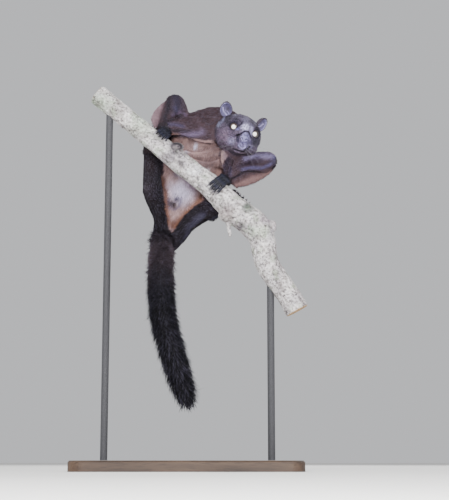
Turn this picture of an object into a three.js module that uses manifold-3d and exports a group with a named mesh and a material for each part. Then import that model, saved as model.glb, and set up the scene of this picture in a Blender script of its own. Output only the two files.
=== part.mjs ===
// A giant flying squirrel clinging to a cut length of branch, life size, on a plain display stand.
// Millimetres, +Z up. The origin is the centre of the base's underside. The animal faces -Y, towards
// the viewer, with its own right side at -X.
import * as THREE from "three";
import { mergeVertices } from "three/addons/utils/BufferGeometryUtils.js";
import Module from "manifold-3d";

const wasm = await Module();
wasm.setup();

// Gap that is kept between touching pieces
const GAP = 0.3;

// Display stand
const BASE = { width: 300, depth: 260, thickness: 14, corner: 18, bevel: 2 };
const ROD = { radius: 5, left: -116, right: 112 };

// Branch: points of its axis with the radius there. It lies in the plane Y = 0 and falls to the right.
const BRANCH_AXIS = [
  [-134, 531, 15.0],
  [-87, 491, 15.0],
  [-35, 447, 15.6],
  [0, 418, 16.0],
  [32, 393, 17.5],
  [52, 371, 19.5],
  [67, 358, 20.0],
  [84, 345, 21.5],
  [99, 327, 20.5],
  [103, 304, 18.0],
  [108, 283, 17.5],
  [123, 260, 17.0],
  [140, 235, 17.0],
  [149, 218, 17.5],
];
// Knots, bulges and stubs of the branch: centre, then half sizes
const KNOTS = [
  { at: [-20, -6, 450], size: [11, 9, 8] },
  { at: [50, -7, 352], size: [12, 11, 10] },
  { at: [82, -2, 364], size: [7, 7, 7] },
  { at: [72, -4, 340], size: [9, 9, 10] },
];
const STUB = { from: [98, 0, 338], to: [121, 0, 339], radius: 9 };
const STUB_TAPER = 0.9;
const TWIG = { from: [52, -2, 350], to: [56, -4, 322], radius: 3.6 };

// Torso from the tail root to the shoulders, and neck from between the shoulders to the skull:
// points of the middle line, each with half width and half depth
const TORSO = [
  [-38, 36, 318, 19, 19],
  [-30, 50, 342, 28, 29],
  [-17, 63, 382, 38, 39],
  [-5, 69, 426, 40, 43],
  [11, 66, 468, 40, 41],
  [22, 62, 498, 37, 36],
];
const NECK = [
  [12, 63, 491, 34, 34],
  [38, 49.5, 495, 34, 34],
  [62, 36, 485, 28, 28],
];
// Where the trunk is parted, as points on the cuts and the way the trunk runs there
const TRUNK_CUTS = {
  rumpBelly: { at: [-19, 61, 375], way: [0.3, 0.3, 0.9] },
  bellyChest: { at: [-4, 69, 430], way: [0.33, 0, 0.94] },
  chestNeck: { at: [36, 53, 492], way: [0.87, -0.4, 0.28] },
};

// Head: place of the point midway between the eyes and the way the head faces
const HEAD = { at: [75.9, -5, 476], facing: [0.131, -0.976, -0.176], crown: [0.309, -0.129, 0.942] };
// Head profile, back to front: shift aside towards the neck, height of the middle, distance ahead of
// the eyes, half width, half height
const HEAD_PROFILE = [
  [-8, 1, -54, 24, 22],
  [-6, -2, -38, 32, 28],
  [-3.5, -7, -20, 34.5, 31],
  [-1, -11, -6, 29.5, 28.5],
  [0, -16.5, 4, 21.5, 23],
  [0, -21, 11.5, 14.5, 17.5],
  [0, -23, 17, 11.5, 14],
  [0, -24, 22.5, 10, 12],
];
const MUZZLE_TIP = 4;
// Eyes: centre of the ball beside, above and ahead of the midpoint, its radius, and the lids round it
const EYE = { at: [14.6, -0.2, 0.4], radius: 7.8, outward: 24, lid: 1.3, opening: [6.6, 6.1, 6.2] };
const NOSE = { at: [0, -17, 21.5], size: [7, 6, 5.2] };
const NOSTRIL = { at: [3.4, -18, 25.6], size: [1.3, 1.9, 3] };
const PHILTRUM = { at: [0, -25.5, 26], size: [0.55, 6, 2.4] };
const MOUTH = { half: 10.5, corner: [-30, 11], middle: [-34, 23.4], lip: 1.9, line: 0.75 };
// Ears: middle of each cup, half sizes outside and inside, and how the cup leans and opens. The left
// one is turned further out.
const EAR = {
  at: { right: [31.5, 24, -30], left: [24.5, 20.5, -30] },
  outer: [9.4, 12, 5.4],
  inner: [7.5, 9.8, 5],
  inset: [0, 0.5, 3.6],
  lean: 14,
  turn: { right: 8, left: 58 },
};

// Arms: shoulder, elbow and wrist, each with half width and half depth of the limb
const ARMS = {
  right: { shoulder: [-9, 52, 488, 18, 19], elbow: [-26, 71, 541, 16, 15], wrist: [-41, 5, 485, 8, 7.5] },
  left: { shoulder: [66, 46, 443, 19, 17], elbow: [113, 44, 444, 15, 16], wrist: [50, 1, 404, 8, 7.5] },
};
// Legs: hip, knee and ankle in the same way
const LEGS = {
  right: { hip: [-34, 66, 368, 24, 24], knee: [-54, 10, 389, 16, 16], ankle: [-60, 48, 456, 12, 10] },
  left: { hip: [-6, 64, 366, 25, 23], knee: [34, 11, 370, 15, 15], ankle: [61, 50, 396, 9, 9] },
};

// Hands and feet: where on the branch they grip, in X, and how each digit goes round the branch.
// A grip angle is 0 at the front of the branch, 90 on top and 180 at the back.
const HAND = {
  right: { x: -48, knuckle: 84, tip: 20 },
  left: { x: 35, knuckle: 52, tip: -20 },
  digits: 4,
  spread: 4.9,
  radius: 2.6,
  palm: [9.5, 5],
  detail: { sides: 5, steps: 3 },
};
const FOOT = {
  right: { x: -62, knuckle: 166, tip: 118 },
  left: { x: 60, knuckle: 172, tip: 98 },
  digits: 5,
  spread: 5.4,
  radius: 2.9,
  palm: [12, 6],
  detail: { sides: 4, steps: 3 },
};
// A digit's bone line: share of the way from knuckle to tip, height over the bark, share of the radius.
// The digits fan out a little towards their tips, and the outer ones are shorter by "outer" degrees.
const DIGIT = {
  bone: [
    [0, 5.4, 0.8],
    [0.3, 4.6, 1],
    [0.62, 3.6, 0.98],
    [1, 2.8, 0.86],
  ],
  fan: [0.78, 1.08],
  outer: 9,
};
// Palm: height of the knuckles over the bark, where its middle is, and its sizes at the knuckles
const PALM = { height: 6, middle: 0.55, wide: 1.05, deep: 0.8 };
// A claw's line: distance beyond the digit's tip, height over the bark, radius
const CLAW = [
  [-1, 3.2, 1.25],
  [2.75, 3.8, 1.06],
  [5.5, 1.1, 0.45],
];
// A limb is a little thicker midway
const LIMB_BULGE = 1.02;

// Gliding membranes, each a flat loft: its middle line with half width and half thickness there,
// and the direction that its width is laid along
const MEMBRANES = {
  membrane_front_right: {
    line: [
      [-35, 6, 477, 8, 5],
      [-14, 20, 488, 22, 8],
      [10, 28, 488, 31, 10],
      [36, 28, 482, 28, 10],
    ],
    across: [0.1, 0.6, 0.8],
  },
  membrane_front_left: {
    line: [
      [54, 5, 412, 7, 5],
      [57, 12, 430, 18, 6],
      [63, 20, 446, 25, 8],
      [72, 28, 457, 23, 9],
    ],
    across: [0.9, 0.3, -0.3],
  },
  membrane_arm_right: {
    line: [
      [-46, 12, 481, 6.5, 2.4],
      [-53, 28, 498, 8.5, 2.4],
      [-49, 48, 519, 8, 2.6],
      [-39, 66, 538, 6, 2.8],
    ],
    across: [-0.7, -0.2, 0.4],
  },
  membrane_arm_left: {
    line: [
      [61, 8, 400, 6.5, 2.4],
      [83, 18, 409, 9, 2.4],
      [103, 32, 423, 9, 2.6],
      [118, 45, 436, 7, 2.8],
    ],
    across: [0.4, 0.1, -0.8],
  },
  membrane_flank_right: {
    line: [
      [-36, 72, 526, 15, 4],
      [-42, 65, 490, 23, 6],
      [-48, 58, 450, 23, 6],
      [-55, 46, 412, 17, 6],
      [-58, 30, 392, 12, 6],
    ],
    across: [-0.75, -0.65, 0],
  },
  membrane_axilla_left: {
    line: [
      [110, 52, 438, 10, 4],
      [86, 60, 438, 16, 6],
      [62, 64, 438, 18, 8],
      [44, 66, 438, 16, 8],
    ],
    across: [0, -0.3, -1],
  },
  membrane_flank_left: {
    line: [
      [44, 66, 418, 14, 6],
      [38, 60, 398, 17, 6],
      [34, 48, 376, 15, 6],
      [34, 36, 358, 11, 5],
    ],
    across: [0.6, -0.8, 0.1],
  },
  membrane_tail_right: {
    line: [
      [-42, 31, 321, 9, 8],
      [-45, 26, 342, 9, 8],
      [-47, 18, 364, 10, 9],
      [-53, 10, 385, 11, 9],
    ],
    across: [-0.8, -0.4, -0.2],
  },
  membrane_tail_left: {
    line: [
      [-25, 31, 329, 9, 9],
      [-9, 28, 345, 12, 10],
      [12, 21, 361, 13, 10],
      [31, 12, 373, 11, 9],
    ],
    across: [0.3, 0.1, -0.9],
  },
};

// Tail: length along its bend, how far it leans forward from hanging straight at root and tip (degrees),
// and half width of its hair along its length. It drifts towards +X near its tip.
const TAIL = {
  root: [-40, 33, 327],
  length: 396,
  leanRoot: 66,
  leanTip: 28,
  drift: [0, 2, 5, 12, 29, 52],
  pieces: 4,
  halfWidth: [17.5, 19, 19.5, 20, 20, 19, 16, 7],
};
// The flesh and underfur inside the tail's hair: share of the hair's half width, and where it ends
const TAIL_CORE = { share: 0.47, length: 362 };
// Flat tapered locks of the tail's hair, in rings that overlap like tiles towards the tip
const LOCK = {
  firstRing: 9,
  ringsPerPiece: [3, 3, 3, 2],
  pitch: 33,
  around: 6,
  length: 66,
  halfWidth: [3.4, 7.2, 7.6, 0.9],
  halfThickness: [1.5, 1.4, 1.1, 0.4],
  sunk: 2.2,
  rise: 0.8,
  ragged: 8,
  vary: { length: 0.1, width: 0.06, turn: 4, reach: 0.04 },
};

// Colours, roughness and metalness of the materials
const LOOKS = {
  back_fur: { color: 0x3a2522, roughness: 0.9, metalness: 0 },
  belly_fur: { color: 0xb98a6a, roughness: 0.9, metalness: 0 },
  face_fur: { color: 0x4f3f42, roughness: 0.9, metalness: 0 },
  membrane: { color: 0x7a4c3c, roughness: 0.85, metalness: 0 },
  tail_hair: { color: 0x17120f, roughness: 0.9, metalness: 0 },
  skin: { color: 0x1d1f2e, roughness: 0.6, metalness: 0 },
  ear_skin: { color: 0x7c6f84, roughness: 0.7, metalness: 0 },
  eye: { color: 0x0a0808, roughness: 0.05, metalness: 0 },
  bark: { color: 0xa9a79c, roughness: 0.95, metalness: 0 },
  base: { color: 0x2b2624, roughness: 0.5, metalness: 0 },
  rod: { color: 0x3a3a3c, roughness: 0.35, metalness: 0.9 },
};

const group = new THREE.Group();
const v = (x, y, z) => new THREE.Vector3(x, y, z);
const radians = THREE.MathUtils.degToRad;

// Closed mesh to solid: shared vertices are merged, position is all that is left
function solidOf(geometry) {
  const bare = geometry.clone();
  bare.deleteAttribute("normal");
  bare.deleteAttribute("uv");
  const merged = mergeVertices(bare, 1e-4);
  const mesh = new wasm.Mesh({
    numProp: 3,
    vertProperties: merged.attributes.position.array,
    triVerts: new Uint32Array(merged.index.array),
  });
  return new wasm.Manifold(mesh);
}

// Largest closed body of a solid
function largest(solid) {
  const bodies = solid.decompose();
  return bodies.reduce((best, body) => (body.volume() > best.volume() ? body : best));
}

function joined(solids) {
  return solids.reduce((whole, piece) => whole.add(piece));
}

function cutBy(solid, cutters) {
  return largest(cutters.reduce((rest, cutter) => rest.subtract(cutter), solid));
}

// Named node of the part
function addNode(name, solid, look, parent = group) {
  const mesh = solid.getMesh();
  const geometry = new THREE.BufferGeometry();
  geometry.setAttribute("position", new THREE.BufferAttribute(mesh.vertProperties, 3));
  geometry.setIndex(new THREE.BufferAttribute(mesh.triVerts, 1));
  geometry.computeVertexNormals();
  const node = new THREE.Mesh(geometry, new THREE.MeshStandardMaterial(LOOKS[look]));
  node.name = name;
  parent.add(node);
  return solid;
}

// Closed loft of oval rings along a smooth line. A station is [x, y, z, half width, half depth].
// The width lies along "across". "extra" makes it fatter all round, and "dome" rounds its ends by
// that share of their smaller half size in "rounds" rings, or leaves them flat at 0. "phase" turns
// the corners of a ring of few sides.
function loft(stations, options = {}) {
  const { sides = 14, steps = 10, across = [1, 0, 0], extra = 0 } = options;
  const { dome = 0.8, rounds = 2, phase = 0 } = options;
  const line = new THREE.CatmullRomCurve3(stations.map(([x, y, z]) => v(x, y, z)), false, "catmullrom");
  const sizes = new THREE.CatmullRomCurve3(
    stations.map(([, , , wide, deep]) => v(wide, deep, 0)),
    false,
    "catmullrom",
  );
  const domeRings = dome > 0 ? rounds : 0;
  const rings = [];
  const ends = [];

  function addRing(t, along, scale) {
    const centre = line.getPoint(t);
    const tangent = line.getTangent(t);
    const size = sizes.getPoint(t);
    const side = v(...across);
    side.addScaledVector(tangent, -side.dot(tangent)).normalize();
    const up = tangent.clone().cross(side);
    centre.addScaledVector(tangent, along);
    const ring = [];
    for (let i = 0; i < sides; i++) {
      const angle = (i / sides) * 2 * Math.PI + phase;
      const point = centre.clone();
      point.addScaledVector(side, (size.x + extra) * scale * Math.cos(angle));
      point.addScaledVector(up, (size.y + extra) * scale * Math.sin(angle));
      ring.push(point);
    }
    rings.push(ring);
  }

  function reach(t) {
    const size = sizes.getPoint(t);
    return (Math.min(size.x, size.y) + extra) * dome;
  }

  function addEnd(t, way) {
    const pole = line.getPoint(t).addScaledVector(line.getTangent(t), way * reach(t));
    ends.push(pole);
  }

  addEnd(0, -1);
  for (let k = domeRings; k > 0; k--) {
    const angle = (k / (domeRings + 1)) * (Math.PI / 2);
    addRing(0, -reach(0) * Math.sin(angle), Math.cos(angle));
  }
  for (let k = 0; k <= steps; k++) {
    addRing(k / steps, 0, 1);
  }
  for (let k = 1; k <= domeRings; k++) {
    const angle = (k / (domeRings + 1)) * (Math.PI / 2);
    addRing(1, reach(1) * Math.sin(angle), Math.cos(angle));
  }
  addEnd(1, 1);

  const points = [...rings.flat(), ...ends];
  const start = points.length - 2;
  const index = [];
  const last = (rings.length - 1) * sides;
  for (let i = 0; i < sides; i++) {
    const next = (i + 1) % sides;
    index.push(start, next, i);
    index.push(start + 1, last + i, last + next);
    for (let k = 0; k < rings.length - 1; k++) {
      const here = k * sides;
      const there = here + sides;
      index.push(here + i, here + next, there + next);
      index.push(here + i, there + next, there + i);
    }
  }
  const geometry = new THREE.BufferGeometry().setFromPoints(points);
  geometry.setIndex(index);
  return solidOf(geometry);
}

// Egg shape with the given half sizes, turned by a quaternion
function egg(at, size, { turn = new THREE.Quaternion(), round = 16, tall = 10, extra = 0 } = {}) {
  const geometry = new THREE.SphereGeometry(1, round, tall);
  const scale = v(...size).addScalar(extra);
  geometry.applyMatrix4(new THREE.Matrix4().compose(v(...at), turn, scale));
  return solidOf(geometry);
}

// Base and rods of the stand
function baseSolid() {
  const { width, depth, thickness, corner, bevel } = BASE;
  const x = width / 2 - bevel;
  const y = depth / 2 - bevel;
  const outline = new THREE.Shape();
  outline.absarc(x - corner, y - corner, corner, 0, Math.PI / 2);
  outline.absarc(corner - x, y - corner, corner, Math.PI / 2, Math.PI);
  outline.absarc(corner - x, corner - y, corner, Math.PI, Math.PI * 1.5);
  outline.absarc(x - corner, corner - y, corner, Math.PI * 1.5, Math.PI * 2);
  const geometry = new THREE.ExtrudeGeometry(outline, {
    depth: thickness - bevel,
    bevelThickness: bevel,
    bevelSize: bevel,
    bevelSegments: 1,
    curveSegments: 4,
  });
  return solidOf(geometry).trimByPlane([0, 0, 1], 0);
}

function rodSolid(x) {
  const foot = BASE.thickness + GAP;
  const top = branchAt(x).centre.z;
  const geometry = new THREE.CylinderGeometry(ROD.radius, ROD.radius, top - foot, 20);
  geometry.rotateX(Math.PI / 2);
  geometry.translate(x, 0, (top + foot) / 2);
  return solidOf(geometry);
}

// Branch with its knots
const branchStations = BRANCH_AXIS.map(([x, z, radius]) => [x, 0, z, radius, radius]);
const branchLine = new THREE.CatmullRomCurve3(
  branchStations.map(([x, y, z]) => v(x, y, z)),
  false,
  "catmullrom",
);

// Place on the branch at a given X: centre, directions along it and up from it, and radius
function branchAt(x) {
  let low = 0;
  let high = 1;
  while (high - low > 1e-5) {
    const middle = (low + high) / 2;
    if (branchLine.getPoint(middle).x < x) {
      low = middle;
    } else {
      high = middle;
    }
  }
  const along = branchLine.getTangent(low);
  const share = low * (BRANCH_AXIS.length - 1);
  const before = Math.min(Math.floor(share), BRANCH_AXIS.length - 2);
  const radius = THREE.MathUtils.lerp(BRANCH_AXIS[before][2], BRANCH_AXIS[before + 1][2], share - before);
  return { centre: branchLine.getPoint(low), along, up: v(-along.z, 0, along.x), radius };
}

// Point near the branch's bark: X of the branch's axis there, way along it, angle round it, height
function onBark(x, shift, angle, height) {
  const place = branchAt(x);
  const point = place.centre.clone().addScaledVector(place.along, shift);
  const reach = place.radius + height;
  point.addScaledVector(v(0, -1, 0), reach * Math.cos(radians(angle)));
  return point.addScaledVector(place.up, reach * Math.sin(radians(angle)));
}

function branchSolid(extra = 0) {
  const wood = loft(branchStations, { sides: 12, steps: 20, across: [0, 1, 0], extra, dome: 0 });
  const knots = KNOTS.map(({ at, size }) => egg(at, size, { round: 8, tall: 6, extra }));
  const stubs = [STUB, TWIG].map(({ from, to, radius }) =>
    loft([[...from, radius, radius], [...to, radius * STUB_TAPER, radius * STUB_TAPER]], {
      sides: 10,
      steps: 2,
      across: [0, 1, 0],
      extra,
      dome: 0,
    }),
  );
  return joined([wood, ...knots, ...stubs]);
}

// Trunk, parted by thin cuts
function trunkSolid(extra = 0) {
  const torso = loft(TORSO, { sides: 18, steps: 11, extra });
  const neck = loft(NECK, { sides: 16, steps: 5, across: [0.3, 0.5, 0.8], extra });
  return torso.add(neck);
}

// Part of the trunk ahead of one cut and behind another, either of which may be left out
function trunkPiece(behind, ahead) {
  let piece = trunkSolid();
  if (behind) {
    const way = v(...behind.way).normalize();
    piece = piece.trimByPlane(way.toArray(), way.dot(v(...behind.at)) + GAP / 2);
  }
  if (ahead) {
    const way = v(...ahead.way).normalize().negate();
    piece = piece.trimByPlane(way.toArray(), way.dot(v(...ahead.at)) + GAP / 2);
  }
  return largest(piece);
}

// Head, in its own frame: X to its left, Y up, Z ahead
const headFrame = (() => {
  const ahead = v(...HEAD.facing).normalize();
  const left = v(...HEAD.crown).cross(ahead).normalize();
  const up = ahead.clone().cross(left);
  return new THREE.Matrix4().makeBasis(left, up, ahead).setPosition(v(...HEAD.at));
})();

function skullSolid(extra = 0) {
  return loft(HEAD_PROFILE, { sides: 18, steps: 12, extra, dome: MUZZLE_TIP / HEAD_PROFILE.at(-1)[3] });
}

function mouthLine(radius, lift) {
  const [cornerHeight, cornerAhead] = MOUTH.corner;
  const [middleHeight, middleAhead] = MOUTH.middle;
  const stations = [-1, -0.75, -0.4, 0, 0.4, 0.75, 1].map((side) => {
    const back = 1 - Math.sqrt(1 - (0.98 * side) ** 2);
    const height = THREE.MathUtils.lerp(middleHeight, cornerHeight, side * side);
    const ahead = THREE.MathUtils.lerp(middleAhead, cornerAhead, back);
    return [side * MOUTH.half, height + lift, ahead, radius, radius];
  });
  return loft(stations, { sides: 5, steps: 8, across: [0, 1, 0], rounds: 1 });
}

function eyeTurn(side) {
  return new THREE.Quaternion().setFromAxisAngle(v(0, 1, 0), radians(side * EYE.outward));
}

function eyeSolid(side, extra = 0) {
  const [beside, above, ahead] = EYE.at;
  const size = [EYE.radius, EYE.radius, EYE.radius];
  return egg([side * beside, above, ahead], size, { round: 12, tall: 8, extra, turn: eyeTurn(side) });
}

function headSolid() {
  const both = [-1, 1];
  const mounds = both.map((side) => eyeSolid(side, GAP + EYE.lid));
  const lips = [mouthLine(MOUTH.lip, MOUTH.lip), mouthLine(MOUTH.lip, -MOUTH.lip)];
  const nose = egg(NOSE.at, NOSE.size, { round: 10, tall: 6 });
  const whole = joined([skullSolid(), nose, ...lips, ...mounds]);
  const openings = both.map((side) => {
    const out = v(0, 0, 1).applyQuaternion(eyeTurn(side)).multiplyScalar(EYE.radius);
    const [beside, above, ahead] = EYE.at;
    const at = [side * beside + out.x, above + out.y, ahead + out.z];
    return egg(at, EYE.opening, { round: 10, tall: 6, turn: eyeTurn(side) });
  });
  const nostrils = both.map((side) =>
    egg([side * NOSTRIL.at[0], NOSTRIL.at[1], NOSTRIL.at[2]], NOSTRIL.size, { round: 8, tall: 6 }),
  );
  const philtrum = egg(PHILTRUM.at, PHILTRUM.size, { round: 8, tall: 6 });
  const sockets = both.map((side) => eyeSolid(side, GAP));
  return cutBy(whole, [...sockets, ...openings, ...nostrils, philtrum, mouthLine(MOUTH.line, 0)]);
}

function earTurn(side) {
  const turnOut = side < 0 ? EAR.turn.right : EAR.turn.left;
  const euler = new THREE.Euler(0, radians(side * turnOut), radians(-side * EAR.lean), "ZYX");
  return new THREE.Quaternion().setFromEuler(euler);
}

function earCentre(side) {
  const [beside, above, ahead] = side < 0 ? EAR.at.right : EAR.at.left;
  return v(side * beside, above, ahead);
}

function earShell(side, extra = 0) {
  return egg(earCentre(side).toArray(), EAR.outer, { turn: earTurn(side), round: 12, tall: 8, extra });
}

function earSolid(side) {
  const inset = v(...EAR.inset).applyQuaternion(earTurn(side)).add(earCentre(side));
  const cup = egg(inset.toArray(), EAR.inner, { turn: earTurn(side), round: 10, tall: 6 });
  return cutBy(earShell(side), [cup, skullSolid(GAP)]);
}

// Limb of one side between two joints
function limbSolid(from, to, extra = 0) {
  const middle = from.map((value, i) => (value + to[i]) / 2);
  middle[3] *= LIMB_BULGE;
  return loft([from, middle, to], { sides: 9, steps: 4, across: [1, 0, 0.2], extra, rounds: 1 });
}

// Hand or foot: a palm from the wrist to the knuckles, digits round the branch, a claw on each
function pawSolid(joint, grip, kind, extra = 0) {
  const heel = joint.slice(0, 3);
  const knuckle = onBark(grip.x, 0, grip.knuckle, PALM.height);
  const middle = v(...heel).lerp(knuckle, PALM.middle);
  const [wide, deep] = kind.palm;
  const palm = loft(
    [
      [...heel, joint[3], joint[4]],
      [...middle.toArray(), wide, deep],
      [...knuckle.toArray(), wide * PALM.wide, deep * PALM.deep],
    ],
    { sides: 9, steps: 4, across: branchAt(grip.x).along.toArray(), rounds: 1, extra },
  );
  const pieces = [palm];
  for (let digit = 0; digit < kind.digits; digit++) {
    const place = digit - (kind.digits - 1) / 2;
    const outer = Math.abs(place) / ((kind.digits - 1) / 2);
    const shift = place * kind.spread;
    const tip = grip.tip + outer * DIGIT.outer;
    const bone = DIGIT.bone.map(([portion, height, size]) => {
      const fan = THREE.MathUtils.lerp(...DIGIT.fan, portion);
      const angle = THREE.MathUtils.lerp(grip.knuckle, tip, portion);
      const at = onBark(grip.x, shift * fan, angle, height);
      return [...at.toArray(), kind.radius * size, kind.radius * size];
    });
    pieces.push(loft(bone, { ...kind.detail, across: [0, 0, 1], rounds: 1, extra }));
    const span = grip.tip - grip.knuckle;
    const perMm = (Math.sign(span) * 180) / (Math.PI * branchAt(grip.x).radius);
    const claw = CLAW.map(([beyond, height, size]) => {
      const at = onBark(grip.x, shift * DIGIT.fan[1], tip + beyond * perMm, height);
      return [...at.toArray(), size, size];
    });
    pieces.push(loft(claw, { sides: 4, steps: 2, across: [0, 0, 1], rounds: 0, extra }));
  }
  return joined(pieces);
}

// Middle line of the tail: it leans forward less and less, and drifts aside towards its tip
const tailLine = (() => {
  const points = [];
  const place = v(...TAIL.root);
  const count = 160;
  const step = TAIL.length / count;
  const drift = new THREE.CatmullRomCurve3(TAIL.drift.map((x) => v(x, 0, 0)), false, "catmullrom");
  for (let k = 0; k <= count; k++) {
    const share = k / count;
    points.push(v(place.x + drift.getPoint(share).x, place.y, place.z));
    const lean = radians(THREE.MathUtils.lerp(TAIL.leanRoot, TAIL.leanTip, share));
    place.y -= step * Math.sin(lean);
    place.z -= step * Math.cos(lean);
  }
  return new THREE.CatmullRomCurve3(points, false, "catmullrom");
})();
const tailWidths = new THREE.CatmullRomCurve3(TAIL.halfWidth.map((x) => v(x, 0, 0)), false, "catmullrom");

function tailReach(distance) {
  return tailWidths.getPoint(Math.min(distance / TAIL.length, 1)).x;
}

// Point beside the tail's middle line, at a distance from its root, an angle round it and a reach
function onTail(distance, angle, reach) {
  const share = Math.min(distance / TAIL.length, 1);
  const along = tailLine.getTangent(share);
  const point = tailLine.getPoint(share);
  point.addScaledVector(along, Math.max(0, distance - TAIL.length));
  const side = v(1, 0, 0).addScaledVector(along, -along.x).normalize();
  const up = along.clone().cross(side);
  point.addScaledVector(side, reach * Math.cos(radians(angle)));
  return point.addScaledVector(up, reach * Math.sin(radians(angle)));
}

// Smooth body of revolution round part of the tail's middle line
function tailBody(from, to, share, extra = 0) {
  const count = Math.ceil((to - from) / 24);
  const stations = [];
  for (let k = 0; k <= count; k++) {
    const distance = from + ((to - from) * k) / count;
    const half = tailReach(distance) * share;
    stations.push([...onTail(distance, 0, 0).toArray(), half, half]);
  }
  return loft(stations, { sides: 12, steps: count, extra, rounds: 1 });
}

// Same numbers at every run, from 0 to 1
function seeded(seed) {
  let state = seed;
  return () => {
    state = (state * 16807) % 2147483647;
    return state / 2147483647;
  };
}

// One lock: it leaves the core, bends over along the tail and tapers to its tip
function lockSolid(start, angle, chance) {
  const spread = (amount) => 1 + amount * (2 * chance() - 1);
  const length = LOCK.length * spread(LOCK.vary.length);
  const end = Math.min(start + length, TAIL.length - LOCK.ragged * chance());
  const turn = LOCK.vary.turn * (2 * chance() - 1);
  const width = spread(LOCK.vary.width);
  const reach = tailReach(end) * spread(LOCK.vary.reach);
  const count = LOCK.halfWidth.length - 1;
  const widest = Math.max(...TAIL.halfWidth);
  const stations = LOCK.halfWidth.map((half, k) => {
    const share = k / count;
    const distance = THREE.MathUtils.lerp(start, end, share);
    const inner = tailReach(distance) * TAIL_CORE.share;
    const height = k === 0 ? inner - LOCK.sunk : THREE.MathUtils.lerp(inner, reach, share ** LOCK.rise);
    const at = onTail(distance, angle + turn * share, height);
    return [...at.toArray(), (half * width * tailReach(distance)) / widest, LOCK.halfThickness[k]];
  });
  const middle = (start + end) / 2;
  const across = onTail(middle, angle + 90, 1).sub(onTail(middle, 0, 0));
  const ridge = { sides: 3, steps: 3, phase: Math.PI / 2, rounds: 0, dome: 1 };
  return loft(stations, { ...ridge, across: across.toArray() });
}

// Lengths of the tail: each a piece of the core with the locks that are rooted on it
function tailPieces(room) {
  const chance = seeded(41);
  const core = cutBy(tailBody(0, TAIL_CORE.length, TAIL_CORE.share), [room]);
  const pieces = [];
  for (let k = 0; k < TAIL.pieces; k++) {
    const from = (k * TAIL.length) / TAIL.pieces;
    const to = from + TAIL.length / TAIL.pieces;
    let piece = core;
    if (k > 0) {
      const way = tailLine.getTangent(from / TAIL.length);
      piece = piece.trimByPlane(way.toArray(), way.dot(onTail(from, 0, 0)) + GAP / 2);
    }
    if (k < TAIL.pieces - 1) {
      const way = tailLine.getTangent(to / TAIL.length).negate();
      piece = piece.trimByPlane(way.toArray(), way.dot(onTail(to, 0, 0)) + GAP / 2);
    }
    const locks = [];
    for (let ring = 0; ring < LOCK.ringsPerPiece[k]; ring++) {
      const start = from + LOCK.firstRing + ring * LOCK.pitch;
      for (let i = 0; i < LOCK.around; i++) {
        const angle = ((i + (ring % 2) / 2) * 360) / LOCK.around;
        locks.push(lockSolid(start, angle, chance));
      }
    }
    pieces.push(cutBy(joined([largest(piece), ...locks]), [room]));
  }
  return pieces;
}

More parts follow.
